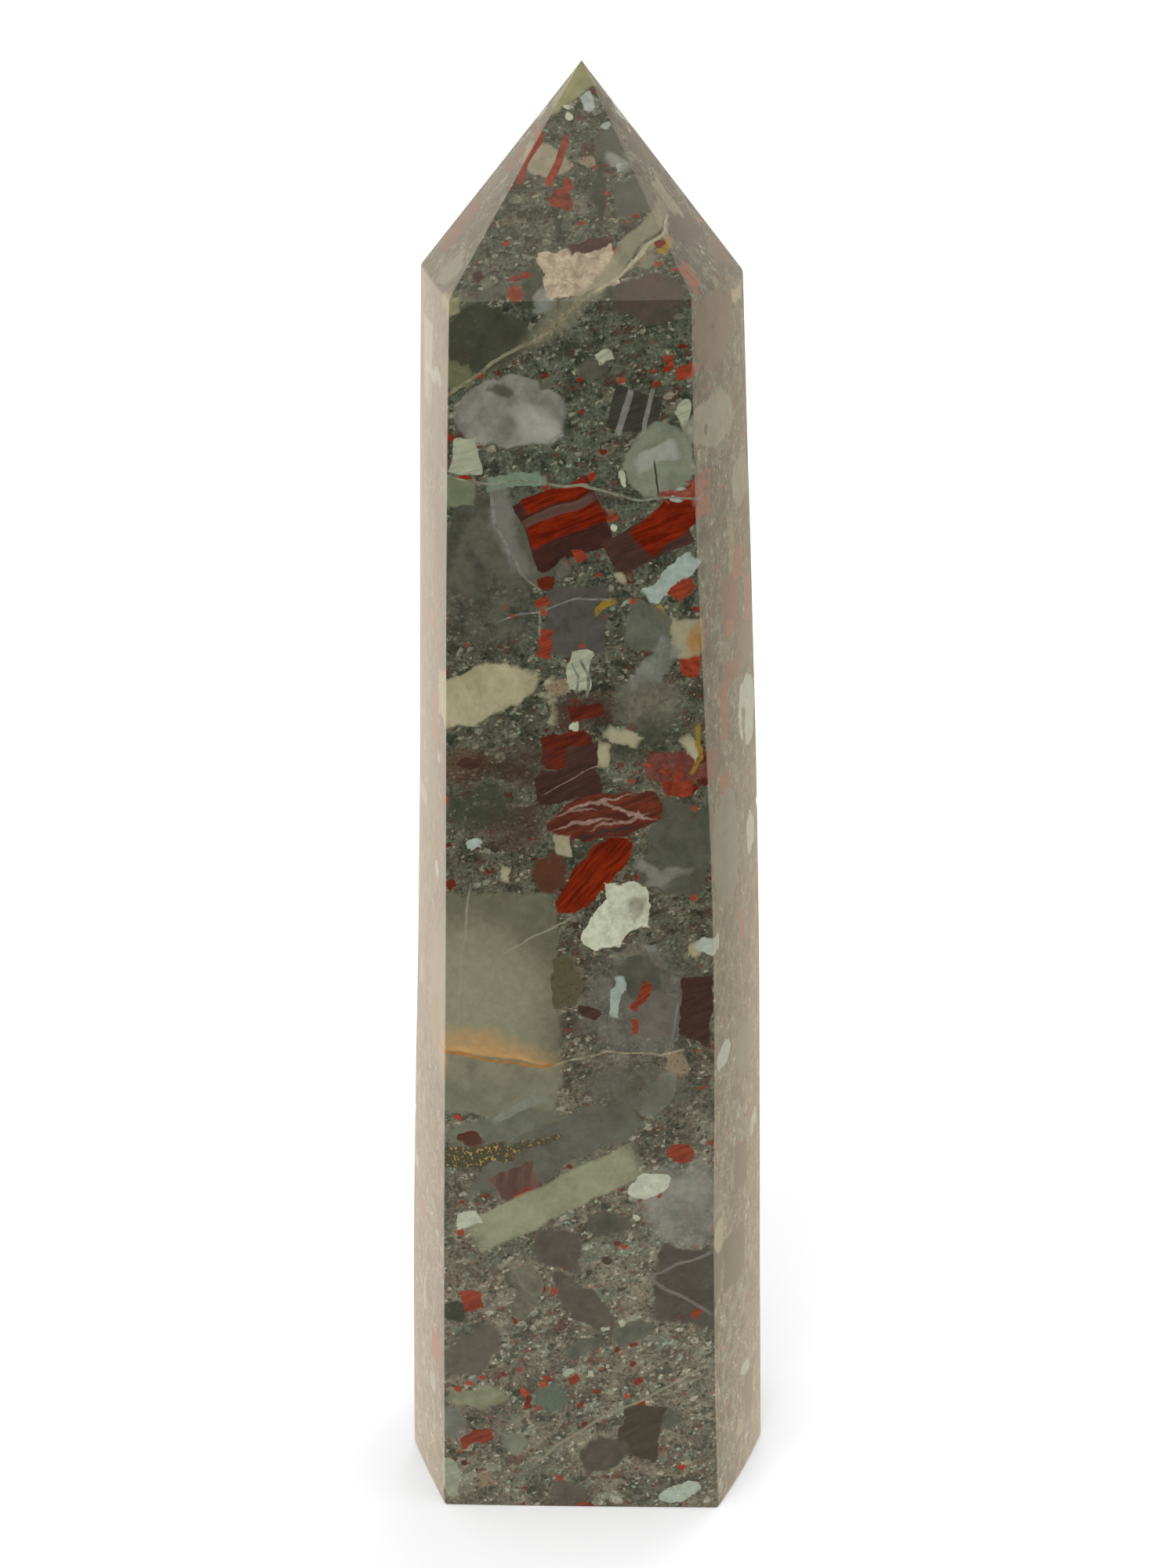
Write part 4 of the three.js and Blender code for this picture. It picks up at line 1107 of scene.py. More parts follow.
class PatternSheet:
    """Short methods that lay nodes into one node tree and give back the sockets that they put out."""

    def __init__(self, tree: bpy.types.NodeTree) -> None:
        """Keeps the tree that the nodes go into."""
        self.tree = tree

    @classmethod
    def of_owner(cls, owner: bpy.types.Material | bpy.types.World) -> "PatternSheet":
        """Clears a material or world of the nodes that it starts with.

        Args:
            owner: The material or world.

        Returns:
            Its sheet.
        """
        owner.use_nodes = True
        owner.node_tree.nodes.clear()
        return cls(owner.node_tree)

    @classmethod
    def of_group(cls, name: str, inputs: dict[str, str], outputs: dict[str, str]) -> "PatternSheet":
        """Starts a node group.

        Args:
            name: The group's name.
            inputs: The names of its inputs, each with its kind.
            outputs: The names of its outputs, each with its kind.

        Returns:
            The group's sheet.
        """
        tree = bpy.data.node_groups.new(name, "ShaderNodeTree")
        for way, named in (("INPUT", inputs), ("OUTPUT", outputs)):
            for label, kind in named.items():
                tree.interface.new_socket(name=label, in_out=way, socket_type=f"NodeSocket{kind}")
        return cls(tree)

    def put_out(self, results: dict[str, Socket]) -> bpy.types.NodeTree:
        """Feeds the group's outputs, and gives back its tree."""
        self.add("NodeGroupOutput", results)
        return self.tree

    def place(self, tree: bpy.types.NodeTree, feeds: dict[str, object]) -> bpy.types.bpy_prop_collection:
        """Places a node group with its own values, and gives back its outputs."""
        return self.add("ShaderNodeGroup", feeds, node_tree=tree).outputs

    def add(
        self, kind: str, feeds: dict[int | str, object] | None = None, **settings: object
    ) -> bpy.types.Node:
        """Adds a node.

        Args:
            kind: The node's type.
            feeds: What goes into its inputs, by number or name: a socket is linked, a plain value is set.
            settings: The node's own settings.

        Returns:
            The node.
        """
        node = self.tree.nodes.new(kind)
        for name, value in settings.items():
            setattr(node, name, value)
        for name, source in (feeds or {}).items():
            if isinstance(source, bpy.types.NodeSocket):
                self.tree.links.new(source, node.inputs[name])
            else:
                node.inputs[name].default_value = source
        return node

    def maths(self, operation: str, *values: object) -> Socket:
        """One Math node."""
        return self.add("ShaderNodeMath", dict(enumerate(values)), operation=operation).outputs[0]

    def vector(self, operation: str, *values: object) -> Socket:
        """One Vector Math node. A dot product or distance gives its value, any other its vector."""
        node = self.add("ShaderNodeVectorMath", dict(enumerate(values)), operation=operation)
        return node.outputs["Value" if operation in ("DOT_PRODUCT", "DISTANCE") else "Vector"]

    def joined(self, x: Socket, y: Socket, z: Socket) -> Socket:
        """A vector of three values."""
        return self.add("ShaderNodeCombineXYZ", {0: x, 1: y, 2: z}).outputs[0]

    def apart(self, place: Socket) -> bpy.types.bpy_prop_collection:
        """A vector's three values."""
        return self.add("ShaderNodeSeparateXYZ", {0: place}).outputs

    def scaled(self, place: Socket, factor: float) -> Socket:
        """A vector times a number."""
        feeds = {0: place, "Scale": factor}
        return self.add("ShaderNodeVectorMath", feeds, operation="SCALE").outputs["Vector"]

    def noise(self, place: Socket, scale: object, detail: float, roughness: float = 0.5) -> bpy.types.Node:
        """Smooth noise, with a scale of one over the size of its lumps."""
        feeds = {"Vector": place, "Scale": scale, "Detail": detail, "Roughness": roughness}
        return self.add("ShaderNodeTexNoise", feeds, noise_dimensions="3D")

    def lumps(self, place: Socket, kind: Lumps) -> Socket:
        """The mask that lumps of noise make."""
        noise = self.noise(place, 1 / kind.size, kind.detail, kind.roughness)
        return self.spread(noise.outputs[0], kind.low, kind.high)

    def swayed(self, start: Socket, place: Socket, kind: Sway) -> Socket:
        """Moves a place by noise.

        Args:
            start: The place that is moved.
            place: The place that the noise reads.
            kind: The noise.

        Returns:
            The moved place.
        """
        noise = self.noise(place, 1 / kind.size, kind.detail)
        step = self.vector("SUBTRACT", noise.outputs["Color"], MIDDLE_GREY)
        return self.vector("ADD", start, self.scaled(step, kind.reach))

    def cells(self, place: Socket, size: float) -> bpy.types.Node:
        """Voronoi cells about size across."""
        feeds = {"Vector": place, "Scale": 1 / size}
        return self.add("ShaderNodeTexVoronoi", feeds, voronoi_dimensions="3D", feature="F1")

    def spread(
        self, value: Socket, low: object, high: object, out: tuple[float, float] = (0.0, 1.0)
    ) -> Socket:
        """Eases a value from one range onto another, and holds it inside it.

        The smooth step holds the value by itself. A clamp would become a node of its own at the end of the
        renderer's list, and the results that wait for it would fill its stack.

        Args:
            value: The value.
            low: Where the first range starts.
            high: Where it ends.
            out: The second range.

        Returns:
            The eased value.
        """
        feeds = {"Value": value, "From Min": low, "From Max": high, "To Min": out[0], "To Max": out[1]}
        node = self.add("ShaderNodeMapRange", feeds, interpolation_type="SMOOTHSTEP", clamp=False)
        return node.outputs["Result"]

    def mix(self, factor: object, under: object, over: object, blend: str = "MIX") -> Socket:
        """One colour laid over another by a mask."""
        feeds = {0: factor, 6: under, 7: over}
        return self.add("ShaderNodeMix", feeds, data_type="RGBA", blend_type=blend).outputs[2]

    def steps(self, factor: Socket, stops: list[tuple[float, Colour]]) -> Socket:
        """Turns a value into one of several colours.

        Args:
            factor: The value, from 0 to 1.
            stops: Where each colour starts, and the colour.

        Returns:
            The colour.
        """
        node = self.add("ShaderNodeValToRGB", {0: factor})
        scale = node.color_ramp
        scale.interpolation = "CONSTANT"
        while len(scale.elements) < len(stops):
            scale.elements.new(0.5)
        for element, (position, _) in zip(scale.elements, stops):
            element.position = position
        for element, (_, colour) in zip(scale.elements, stops):
            element.color = colour
        return node.outputs["Color"]

    def stretched(self, place: Socket, rise: float, sizes: tuple[float, float, float]) -> Socket:
        """A vector turned so that its first axis rises to the right by rise degrees, over sizes."""
        feeds = {"Vector": place, "Rotation": (0.0, -math.radians(rise), 0.0), "Scale": sizes}
        return self.add("ShaderNodeMapping", feeds, vector_type="TEXTURE").outputs["Vector"]


def light_of(look: str) -> np.ndarray:
    """The light that a screen colour, written as six hex digits, stands for, by the sRGB curve."""
    value = np.array([int(look[i : i + 2], 16) / 255 for i in (0, 2, 4)])
    return np.where(value <= 0.04045, value / 12.92, ((value + 0.055) / 1.055) ** 2.4)


# The light that falls on the front, the gloss's share of a look, and the range of base colours
FACE_LIGHT = np.array([1.54, 1.46, 1.40])
GLOSS_LIFT = 0.0015
DARKEST, LIGHTEST = 0.001, 0.9


def stain(look: str, tone: float = 1.0) -> Colour:
    """The base colour behind a look: its light less the gloss, over the light on the front, by a tone."""
    base = np.clip(tone * (light_of(look) - GLOSS_LIFT) / FACE_LIGHT, DARKEST, LIGHTEST)
    return (*base.tolist(), 1.0)


# The stone's pattern

def sockets(**kinds: str) -> dict[str, str]:
    """Names of sockets with their kinds, from one list of names, split at commas, for each kind."""
    return {name: kind for kind, names in kinds.items() for name in names.split(", ")}


def fragment_group(outline: Outline) -> bpy.types.NodeTree:
    """Makes the node group that lays one fragment over what is under it.

    The place less the fragment's middle is measured along its three axes, each divided by the fragment's
    half size. A pebble's outline is where the sum of their squares passes 1. A block's is where the largest
    square does, or either of two more measures, which cut its corners off.

    Args:
        outline: Pebble or block.

    Returns:
        The node group, which puts out the colour.
    """
    inputs = sockets(
        Vector="Place, Middle, Along, Deep, Across, First Cut, Second Cut",
        Color="Under, Main, Second",
        Float="Figure, Rim, Rim Share, Inner, Outer, Cover",
    )
    sheet = PatternSheet.of_group(f"{outline.name.title()} fragment", inputs, sockets(Color="Colour"))
    given = sheet.add("NodeGroupInput").outputs
    away = sheet.vector("SUBTRACT", given["Place"], given["Middle"])
    measures = [sheet.vector("DOT_PRODUCT", away, given[axis]) for axis in ("Along", "Deep", "Across")]
    if outline is BLOCK:
        squares = [sheet.maths("MULTIPLY", measure, measure) for measure in measures]
        out = sheet.maths("MAXIMUM", squares[0], sheet.maths("MAXIMUM", squares[1], squares[2]))
        for cut in ("First Cut", "Second Cut"):
            out = sheet.maths("MAXIMUM", out, sheet.vector("DOT_PRODUCT", away, given[cut]))
    else:
        place = sheet.joined(*measures)
        out = sheet.vector("DOT_PRODUCT", place, place)
    mask = sheet.spread(out, given["Inner"], given["Outer"], (1.0, 0.0))
    mask = sheet.maths("MULTIPLY", mask, given["Cover"])
    plain = sheet.mix(mask, given["Under"], given["Main"])
    rim = sheet.maths("MULTIPLY", sheet.spread(out, given["Rim"], given["Outer"]), given["Rim Share"])
    second = sheet.maths("MULTIPLY", mask, sheet.maths("MAXIMUM", given["Figure"], rim))
    return sheet.put_out({"Colour": sheet.mix(second, plain, given["Second"])})


def chip_group() -> bpy.types.NodeTree:
    """Makes the node group that lays one small chip: everything nearer to its middle than its reach.

    Returns:
        The node group, which puts out the colour.
    """
    inputs = sockets(Vector="Place, Middle", Color="Under, Main", Float="Inner, Outer")
    sheet = PatternSheet.of_group("Small chip", inputs, sockets(Color="Colour"))
    given = sheet.add("NodeGroupInput").outputs
    away = sheet.vector("DISTANCE", given["Place"], given["Middle"])
    mask = sheet.spread(away, given["Inner"], given["Outer"], (1.0, 0.0))
    return sheet.put_out({"Colour": sheet.mix(mask, given["Under"], given["Main"])})


def grain_group() -> bpy.types.NodeTree:
    """Makes the node group that grains a colour: noise between a dark and a light tint, multiplied in.

    Returns:
        The node group, which puts out the colour.
    """
    inputs = sockets(Vector="Place", Color="Colour, Dark, Light", Float="Scale")
    sheet = PatternSheet.of_group("Grain", inputs, sockets(Color="Colour"))
    given = sheet.add("NodeGroupInput").outputs
    grain = sheet.noise(given["Place"], given["Scale"], GRAIN_DETAIL, GRAIN_ROUGHNESS).outputs[0]
    tint = sheet.mix(sheet.spread(grain, *GRAIN_RANGE), given["Dark"], given["Light"])
    return sheet.put_out({"Colour": sheet.mix(1.0, given["Colour"], tint, "MULTIPLY")})


def figure_group(bedding: float, steep: float) -> bpy.types.NodeTree:
    """Makes the node group that puts out the figures which mix the minerals' colours, each from 0 to 1.

    Args:
        bedding: The rise of the bedded streaks in degrees.
        steep: The rise of the steep ones.

    Returns:
        The node group, which puts out one mask for each figure.
    """
    outputs = {figure.name.title(): "Float" for figure in Figure}
    sheet = PatternSheet.of_group("Mineral figures", sockets(Vector="Swayed, Frilled"), outputs)
    given = sheet.add("NodeGroupInput").outputs
    places = {
        STEEP: sheet.stretched(given["Swayed"], steep, BEDDED_STREAK),
        UPRIGHT: sheet.vector("DIVIDE", given["Swayed"], UPRIGHT_STREAK),
        BEDDED: sheet.stretched(given["Swayed"], bedding, BEDDED_STREAK),
        CLOUD: given["Swayed"],
        MOTTLE: given["Frilled"],
        SPECKS: given["Frilled"],
    }
    masks = {figure.name.title(): sheet.lumps(places[figure], kind) for figure, kind in FIGURE_LUMPS.items()}
    return sheet.put_out(masks)


@dataclass(frozen=True)
class Draw:
    """What chance gives one fragment: its tone, and the two slants and reaches at which its corners break."""

    tone: float
    slants: tuple[float, float]
    reaches: np.ndarray

    def cuts(self, piece: Fragment) -> list[tuple[float, float, float]]:
        """Works out the two measures that cut corners off a block: one corner above the right end, one
        below the left. A measure is 1 on its cut, which faces its slant.

        Args:
            piece: The block.

        Returns:
            Each measure, as the vector that a place's step from the middle is multiplied by.
        """
        laid = []
        for slant, reach, turn in zip(self.slants, self.reaches, (0.0, 180.0)):
            angle = math.radians(slant)
            away = reach * (math.cos(angle) * piece.along + math.sin(angle) * piece.across) / 2
            aim = math.radians(slant + turn + piece.rise)
            laid.append((math.cos(aim) / away, 0.0, math.sin(aim) / away))
        return laid


# What a draw may give: a tone, a slant in degrees, and a reach as a share of the corner's own
TONES = (0.93, 1.07)
SLANTS = (20.0, 70.0)
REACHES = (0.8, 1.05)


@dataclass
class Breccia:
    """The polished breccia: a solid pattern of matrix, fragments and veins under a glossy finish.

    bedding and steep are the rises of the two kinds of streaks. crisp and glassy_edge are half the width of
    a fragment's edge, in stone and in clear chalcedony, and most_soft is the most of the fragment that it
    takes. rim is the width of a clear fragment's second colour along its edge. haze_end is where a haze
    ends, on the measure that is 1 on its outline. front_foot is how far forward the front stands at the
    foot, and the two leans are how far it falls back for each millimetre up.
    """

    bedding: float = 22.0
    steep: float = 48.0
    refractive_index: float = 1.54
    roughness: tuple[float, float] = (0.06, 0.12)
    crisp: float = 0.10
    glassy_edge: float = 0.35
    glassy_cover: float = 0.9
    most_soft: float = 0.9
    haze_end: float = 1.5
    matrix_tone: float = 1.3
    rim: float = 0.5
    rim_share: float = 0.7
    least_depth: float = 5.0
    front_foot: float = -30.2
    body_lean: float = 0.0131
    shoulder: tuple[float, float] = (-27.4, 215.0)
    point_lean: float = 0.78
    seed: int = 11
    fragments: tuple[Fragment, ...] = FRAGMENTS + tuple(piece for vein in VEINS for piece in vein.stretches())
    chips: tuple[Chip, ...] = CHIPS

    def __post_init__(self) -> None:
        """Makes the groups that every zone's material uses, and draws each fragment's own tone."""
        self.fragment_trees = {shape: fragment_group(shape) for shape in (PEBBLE, BLOCK)}
        self.chip_tree = chip_group()
        self.grain_tree = grain_group()
        self.figure_tree = figure_group(self.bedding, self.steep)
        self.matrix_tree = self.matrix_group()
        draw = np.random.default_rng(self.seed)
        self.draws = [
            Draw(
                draw.uniform(*TONES),
                (draw.uniform(*SLANTS), draw.uniform(*SLANTS)),
                draw.uniform(*REACHES, 2),
            )
            for _ in self.fragments
        ]

    def front_depth(self, z: float) -> float:
        """How far forward the front stands at a height: it leans back a little, and more on the point."""
        past = z - self.shoulder[1]
        return self.shoulder[0] + self.point_lean * past if past > 0 else self.front_foot + self.body_lean * z

    def middle_of(self, piece: Fragment | Chip) -> tuple[float, float, float]:
        """A piece's middle, on the front's surface unless it has a depth of its own."""
        depth = self.front_depth(piece.z) if piece.y is None else piece.y
        return (piece.x, depth, piece.z)

    def matrix_stain(self, look: str) -> Colour:
        """A look of the matrix, in the tone that makes up for its shade and grain."""
        return stain(look, self.matrix_tone)

    def grained(self, sheet: PatternSheet, place: Socket, colour: Socket, kind: Grain) -> Socket:
        """Makes a colour lighter and darker in grains.

        Args:
            sheet: The sheet that the nodes go onto.
            place: The place that the grains read.
            colour: The colour.
            kind: The grain.

        Returns:
            The grained colour.
        """
        feeds = {
            "Place": place,
            "Colour": colour,
            "Scale": 1 / kind.size,
            "Dark": (*[1 - kind.share] * 3, 1.0),
            "Light": (*[1 + kind.share] * 3, 1.0),
        }
        return sheet.place(self.grain_tree, feeds)["Colour"]

    def crumbs(
        self, sheet: PatternSheet, under: Socket, kind: Crumbs, place: Socket
    ) -> tuple[Socket, bpy.types.Node]:
        """Lays one size of crumbs over what is under them.

        Each Voronoi cell draws whether it holds a crumb, which look it has, and its own size. The crumb fills
        the cell out to its reach, which is a share of the cell's size.

        Args:
            sheet: The sheet that the nodes go onto.
            under: The colour so far.
            kind: The crumbs.
            place: The place that the cells read.

        Returns:
            The new colour, and the cells.
        """
        cell = sheet.cells(sheet.stretched(place, self.bedding, kind.stretch), kind.size)
        drawn = sheet.add("ShaderNodeSeparateColor", {0: cell.outputs["Color"]}).outputs
        colour = sheet.steps(drawn[0], [(at, self.matrix_stain(look)) for at, look in kind.looks])
        there = sheet.maths("LESS_THAN", drawn[1], kind.share)
        edge = kind.softness / kind.size
        reach = sheet.maths("MULTIPLY_ADD", drawn[2], kind.drawn, kind.least)
        beyond = sheet.maths("SUBTRACT", cell.outputs["Distance"], reach)
        body = sheet.spread(beyond, -edge, edge, (kind.cover, 0.0))
        return sheet.mix(sheet.maths("MULTIPLY", there, body), under, colour), cell

    def matrix_group(self) -> bpy.types.NodeTree:
        """Makes the node group of the crumbled matrix: a clouded ground, greener and darker up the stone,
        then its crumbs, its shade and its grain.

        Returns:
            The node group, which puts out the colour, and the colours of its last crumbs' cells.
        """
        inputs = sockets(Vector="Place, Swayed, Frilled")
        sheet = PatternSheet.of_group("Crumbled matrix", inputs, sockets(Color="Colour, Cells"))
        given = sheet.add("NodeGroupInput").outputs
        cloud = sheet.lumps(given["Swayed"], GROUND_CLOUD)
        patches = sheet.lumps(given["Place"], GROUND_PATCHES)
        height = sheet.apart(given["Place"])["Z"]
        up = sheet.spread(height, *GREENER)
        low, high = [sheet.mix(cloud, *map(self.matrix_stain, pair)) for pair in (LOW_GROUND, HIGH_GROUND)]
        colour = sheet.mix(up, low, high)
        warm = sheet.mix(cloud, *map(self.matrix_stain, WARM_GROUND))
        warmth = sheet.maths("MULTIPLY_ADD", up, -WARMTH_LOST, WARMTH)
        colour = sheet.mix(sheet.maths("MULTIPLY", patches, warmth), colour, warm)
        for kind in CRUMBS:
            colour, cell = self.crumbs(sheet, colour, kind, given["Frilled"])
        shaded = sheet.spread(height, *SHADED)
        colour = sheet.mix(shaded, colour, SHADE, "MULTIPLY")
        for kind in MATRIX_GRAINS:
            colour = self.grained(sheet, given["Swayed"], colour, kind)
        turned = sheet.apart(sheet.add("ShaderNodeNewGeometry").outputs["Normal"])
        side = sheet.spread(turned["Y"], *SIDE_TURN)
        colour = sheet.mix(side, colour, self.grained(sheet, given["Swayed"], colour, SIDE_GRAIN))
        return sheet.put_out({"Colour": colour, "Cells": cell.outputs["Color"]})

    def lay_places(self, sheet: PatternSheet) -> None:
        """Makes the places that the pattern reads, in millimetres: as they are, swayed by broad noise, and
        frilled or rippled by finer noise on top.

        Args:
            sheet: The material's sheet.
        """
        self.whole = sheet.scaled(sheet.add("ShaderNodeTexCoord").outputs["Object"], 1 / MM)
        self.swayed = sheet.swayed(self.whole, self.whole, BROAD_SWAY)
        self.frilled = sheet.swayed(self.swayed, self.swayed, FRILL)
        self.rippled = sheet.swayed(self.swayed, self.whole, RIPPLE)

    def lay_figures(self, sheet: PatternSheet) -> None:
        """Places the figures that mix the minerals' colours."""
        figures = sheet.place(self.figure_tree, {"Swayed": self.swayed, "Frilled": self.frilled})
        self.figures = {figure: figures[figure.name.title()] for figure in Figure}

    def lay_matrix(self, sheet: PatternSheet) -> Socket:
        """Places the crumbled matrix, and makes the places that the fragments read. Each crumb cell moves
        them by a step of its own, which gives broken corners: by a full step for fragments, and hardly at
        all for veins.

        The renderer works nodes out as soon as all that they read is known, and keeps each result until it
        is used. These places come from the last crumbs' cells, so that no fragment is worked out before the
        matrix under it, and few results wait at a time.

        Args:
            sheet: The material's sheet.

        Returns:
            The matrix's colour.
        """
        feeds = {"Place": self.whole, "Swayed": self.swayed, "Frilled": self.frilled}
        matrix = sheet.place(self.matrix_tree, feeds)
        step = sheet.vector("SUBTRACT", matrix["Cells"], MIDDLE_GREY)
        self.frayed = sheet.vector("ADD", self.rippled, sheet.scaled(step, FRAY))
        self.eased = sheet.vector("ADD", self.swayed, sheet.scaled(step, VEIN_FRAY))
        return matrix["Colour"]

    def lay_rear(self, sheet: PatternSheet, under: Socket) -> Socket:
        """Lays the larger fragments of the sides that the photograph doesn't show, streaked along the
        bedding. Only cells whose middle lies well behind the stone's axis hold one, so none is cut at a
        zone's border.

        Args:
            sheet: The material's sheet.
            under: The colour so far.

        Returns:
            The new colour.
        """
        for kind in REAR_FRAGMENTS:
            laid, cell = self.crumbs(sheet, under, kind, self.rippled)
            there = sheet.maths("GREATER_THAN", sheet.apart(cell.outputs["Position"])["Y"], REAR_BORDER)
            streak = sheet.spread(self.figures[BEDDED], 0.0, 1.0, (0.0, REAR_STREAK_SHARE))
            under = sheet.mix(there, under, sheet.mix(streak, laid, stain(REAR_STREAK)))
        return under

    def lay_fragment(self, sheet: PatternSheet, under: Socket, piece: Fragment, own: Draw) -> Socket:
        """Lays one fragment over what is under it.

        Args:
            sheet: The material's sheet.
            under: The colour so far.
            piece: The fragment.
            own: What chance gives it.

        Returns:
            The new colour.
        """
        straight = piece.outline in (BLOCK, SLAB, VEIN)
        deep = piece.deep or max((piece.along + piece.across) / 4, self.least_depth)
        slim = min(piece.along, piece.across) / 2
        glassy = piece.mineral.figure is CLOUD
        soft = min(self.most_soft, (self.glassy_edge if glassy else self.crisp) / slim * 2)
        rise = math.radians(piece.rise)
        along, across = 2 / piece.along, 2 / piece.across
        feeds = {
            "Place": self.eased if piece.outline in (SLAB, VEIN) else self.frayed,
            "Under": under,
            "Main": stain(piece.mineral.main, own.tone),
            "Second": stain(piece.mineral.second, own.tone),
            "Figure": self.figures[piece.mineral.figure],
            "Middle": self.middle_of(piece),
            "Along": (along * math.cos(rise), 0.0, along * math.sin(rise)),
            "Deep": (0.0, 1 / deep, 0.0),
            "Across": (-across * math.sin(rise), 0.0, across * math.cos(rise)),
            "Rim": 1 - 2 * self.rim / slim,
            "Inner": 1 - soft,
            "Outer": 1 + soft,
            "Rim Share": self.rim_share if glassy and piece.outline is not HAZE else 0.0,
            "Cover": piece.cover * (self.glassy_cover if glassy else 1.0),
        }
        if piece.outline is HAZE:
            feeds |= {"Inner": 0.0, "Outer": self.haze_end, "Cover": piece.cover}
        if piece.outline in (BLOCK, SLAB):
            feeds["First Cut"], feeds["Second Cut"] = own.cuts(piece)
        shape = BLOCK if straight else PEBBLE
        return sheet.place(self.fragment_trees[shape], feeds)["Colour"]

    def lay_chip(self, sheet: PatternSheet, under: Socket, piece: Chip) -> Socket:
        """Lays one small chip of the front over what is under it.

        Args:
            sheet: The material's sheet.
            under: The colour so far.
            piece: The chip.

        Returns:
            The new colour.
        """
        feeds = {
            "Place": self.frayed,
            "Under": under,
            "Main": stain(piece.mineral.main),
            "Middle": self.middle_of(piece),
            "Inner": piece.width / 2 - self.crisp,
            "Outer": piece.width / 2 + self.crisp,
        }
        return sheet.place(self.chip_tree, feeds)["Colour"]

    def build(self, zone: Zone) -> bpy.types.Material:
        """Makes the material of one zone.

        Args:
            zone: The zone.

        Returns:
            The material.
        """
        material = bpy.data.materials.new(f"polished breccia, {zone.name}")
        sheet = PatternSheet.of_owner(material)
        self.lay_places(sheet)
        self.lay_figures(sheet)
        colour = self.lay_matrix(sheet)
        if not zone.front:
            colour = self.lay_rear(sheet, colour)
        fragments = [pair for pair in zip(self.fragments, self.draws) if zone.holds(pair[0])]
        for piece, own in fragments:
            colour = self.lay_fragment(sheet, colour, piece, own)
        chips = [piece for piece in self.chips if zone.holds(piece)]
        for piece in chips:
            colour = self.lay_chip(sheet, colour, piece)
        colour = self.grained(sheet, self.swayed, colour, LAST_GRAIN)
        dull = sheet.spread(self.figures[MOTTLE], 0.0, 1.0, self.roughness)
        feeds = {"Base Color": colour, "Roughness": dull, "IOR": self.refractive_index}
        shader = sheet.add("ShaderNodeBsdfPrincipled", feeds)
        sheet.add("ShaderNodeOutputMaterial", {"Surface": shader.outputs[0]})
        LOG.info("%s: %d fragments and %d chips", material.name, len(fragments), len(chips))
        return material


# Studio

@dataclass(frozen=True)
class Softbox:
    """A large soft lamp: its place and the place it faces, its width and its power in watts."""

    name: str
    place: tuple[float, float, float]
    aim: tuple[float, float, float]
    width: float
    power: float
    colour: tuple[float, float, float]


SOFTBOXES = (
    Softbox("key", (-500.0, -1900.0, 1500.0), (0.0, 0.0, 110.0), 1600.0, 34.0, (1.0, 0.97, 0.93)),
    Softbox("back fill", (500.0, 1800.0, 1500.0), (0.0, 0.0, 110.0), 1600.0, 22.0, (1.0, 0.97, 0.93)),
)


@dataclass(frozen=True)
class FloorPaintAndGlow:
    """White and matt, and bright enough to the camera that only the shadow close to the stone shows. To the
    rays that the stone's polish reflects, the floor is a glow in place of its paint, a painted reflection:
    dark in front of the stone, as a studio's dark side is, and bright behind it, brighter on the left.

    The ranges are in metres across and in depth: far in front to near in front, in front to behind, and
    left to right.
    """

    matt: Colour = (0.79, 0.83, 0.90, 1.0)
    glow: float = 0.15
    # The glow that the stone's polish sees of the floor, from far in front to behind: painted reflection
    # light.
    far_front: Colour = (0.03, 0.026, 0.02, 1.0)
    near_front: Colour = (0.38, 0.34, 0.28, 1.0)
    back_left: Colour = (1.15, 0.98, 0.80, 1.0)
    back_right: Colour = (0.97, 0.83, 0.62, 1.0)
    front: tuple[float, float] = (-0.42, -0.16)
    behind: tuple[float, float] = (-0.036, -0.022)
    across: tuple[float, float] = (-0.10, 0.10)

    def make(self) -> bpy.types.Material:
        """Makes the paint, and the glow that the stone's polish reflects.

        Returns:
            The material.
        """
        paint = bpy.data.materials.new("white floor")
        sheet = PatternSheet.of_owner(paint)
        place = sheet.apart(sheet.add("ShaderNodeTexCoord").outputs["Object"])
        behind = sheet.spread(place["Y"], *self.behind)
        right = sheet.spread(place["X"], *self.across)
        back = sheet.mix(right, self.back_left, self.back_right)
        near = sheet.spread(place["Y"], *self.front)
        front = sheet.mix(near, self.far_front, self.near_front)
        # Painted reflection light: what the floor glows to the stone's polish, in place of its paint.
        gloss = sheet.add("ShaderNodeEmission", {"Color": sheet.mix(behind, front, back)})
        matt = sheet.add("ShaderNodeBsdfDiffuse", {"Color": self.matt})
        rays = sheet.add("ShaderNodeLightPath").outputs
        bright = sheet.maths("MULTIPLY", rays["Is Camera Ray"], self.glow)
        glow = sheet.add("ShaderNodeEmission", {"Strength": bright})
        white = sheet.add("ShaderNodeAddShader", {0: matt.outputs[0], 1: glow.outputs[0]})
        feeds = {0: rays["Is Glossy Ray"], 1: white.outputs[0], 2: gloss.outputs[0]}
        both = sheet.add("ShaderNodeMixShader", feeds)
        sheet.add("ShaderNodeOutputMaterial", {"Surface": both.outputs[0]})
        return paint


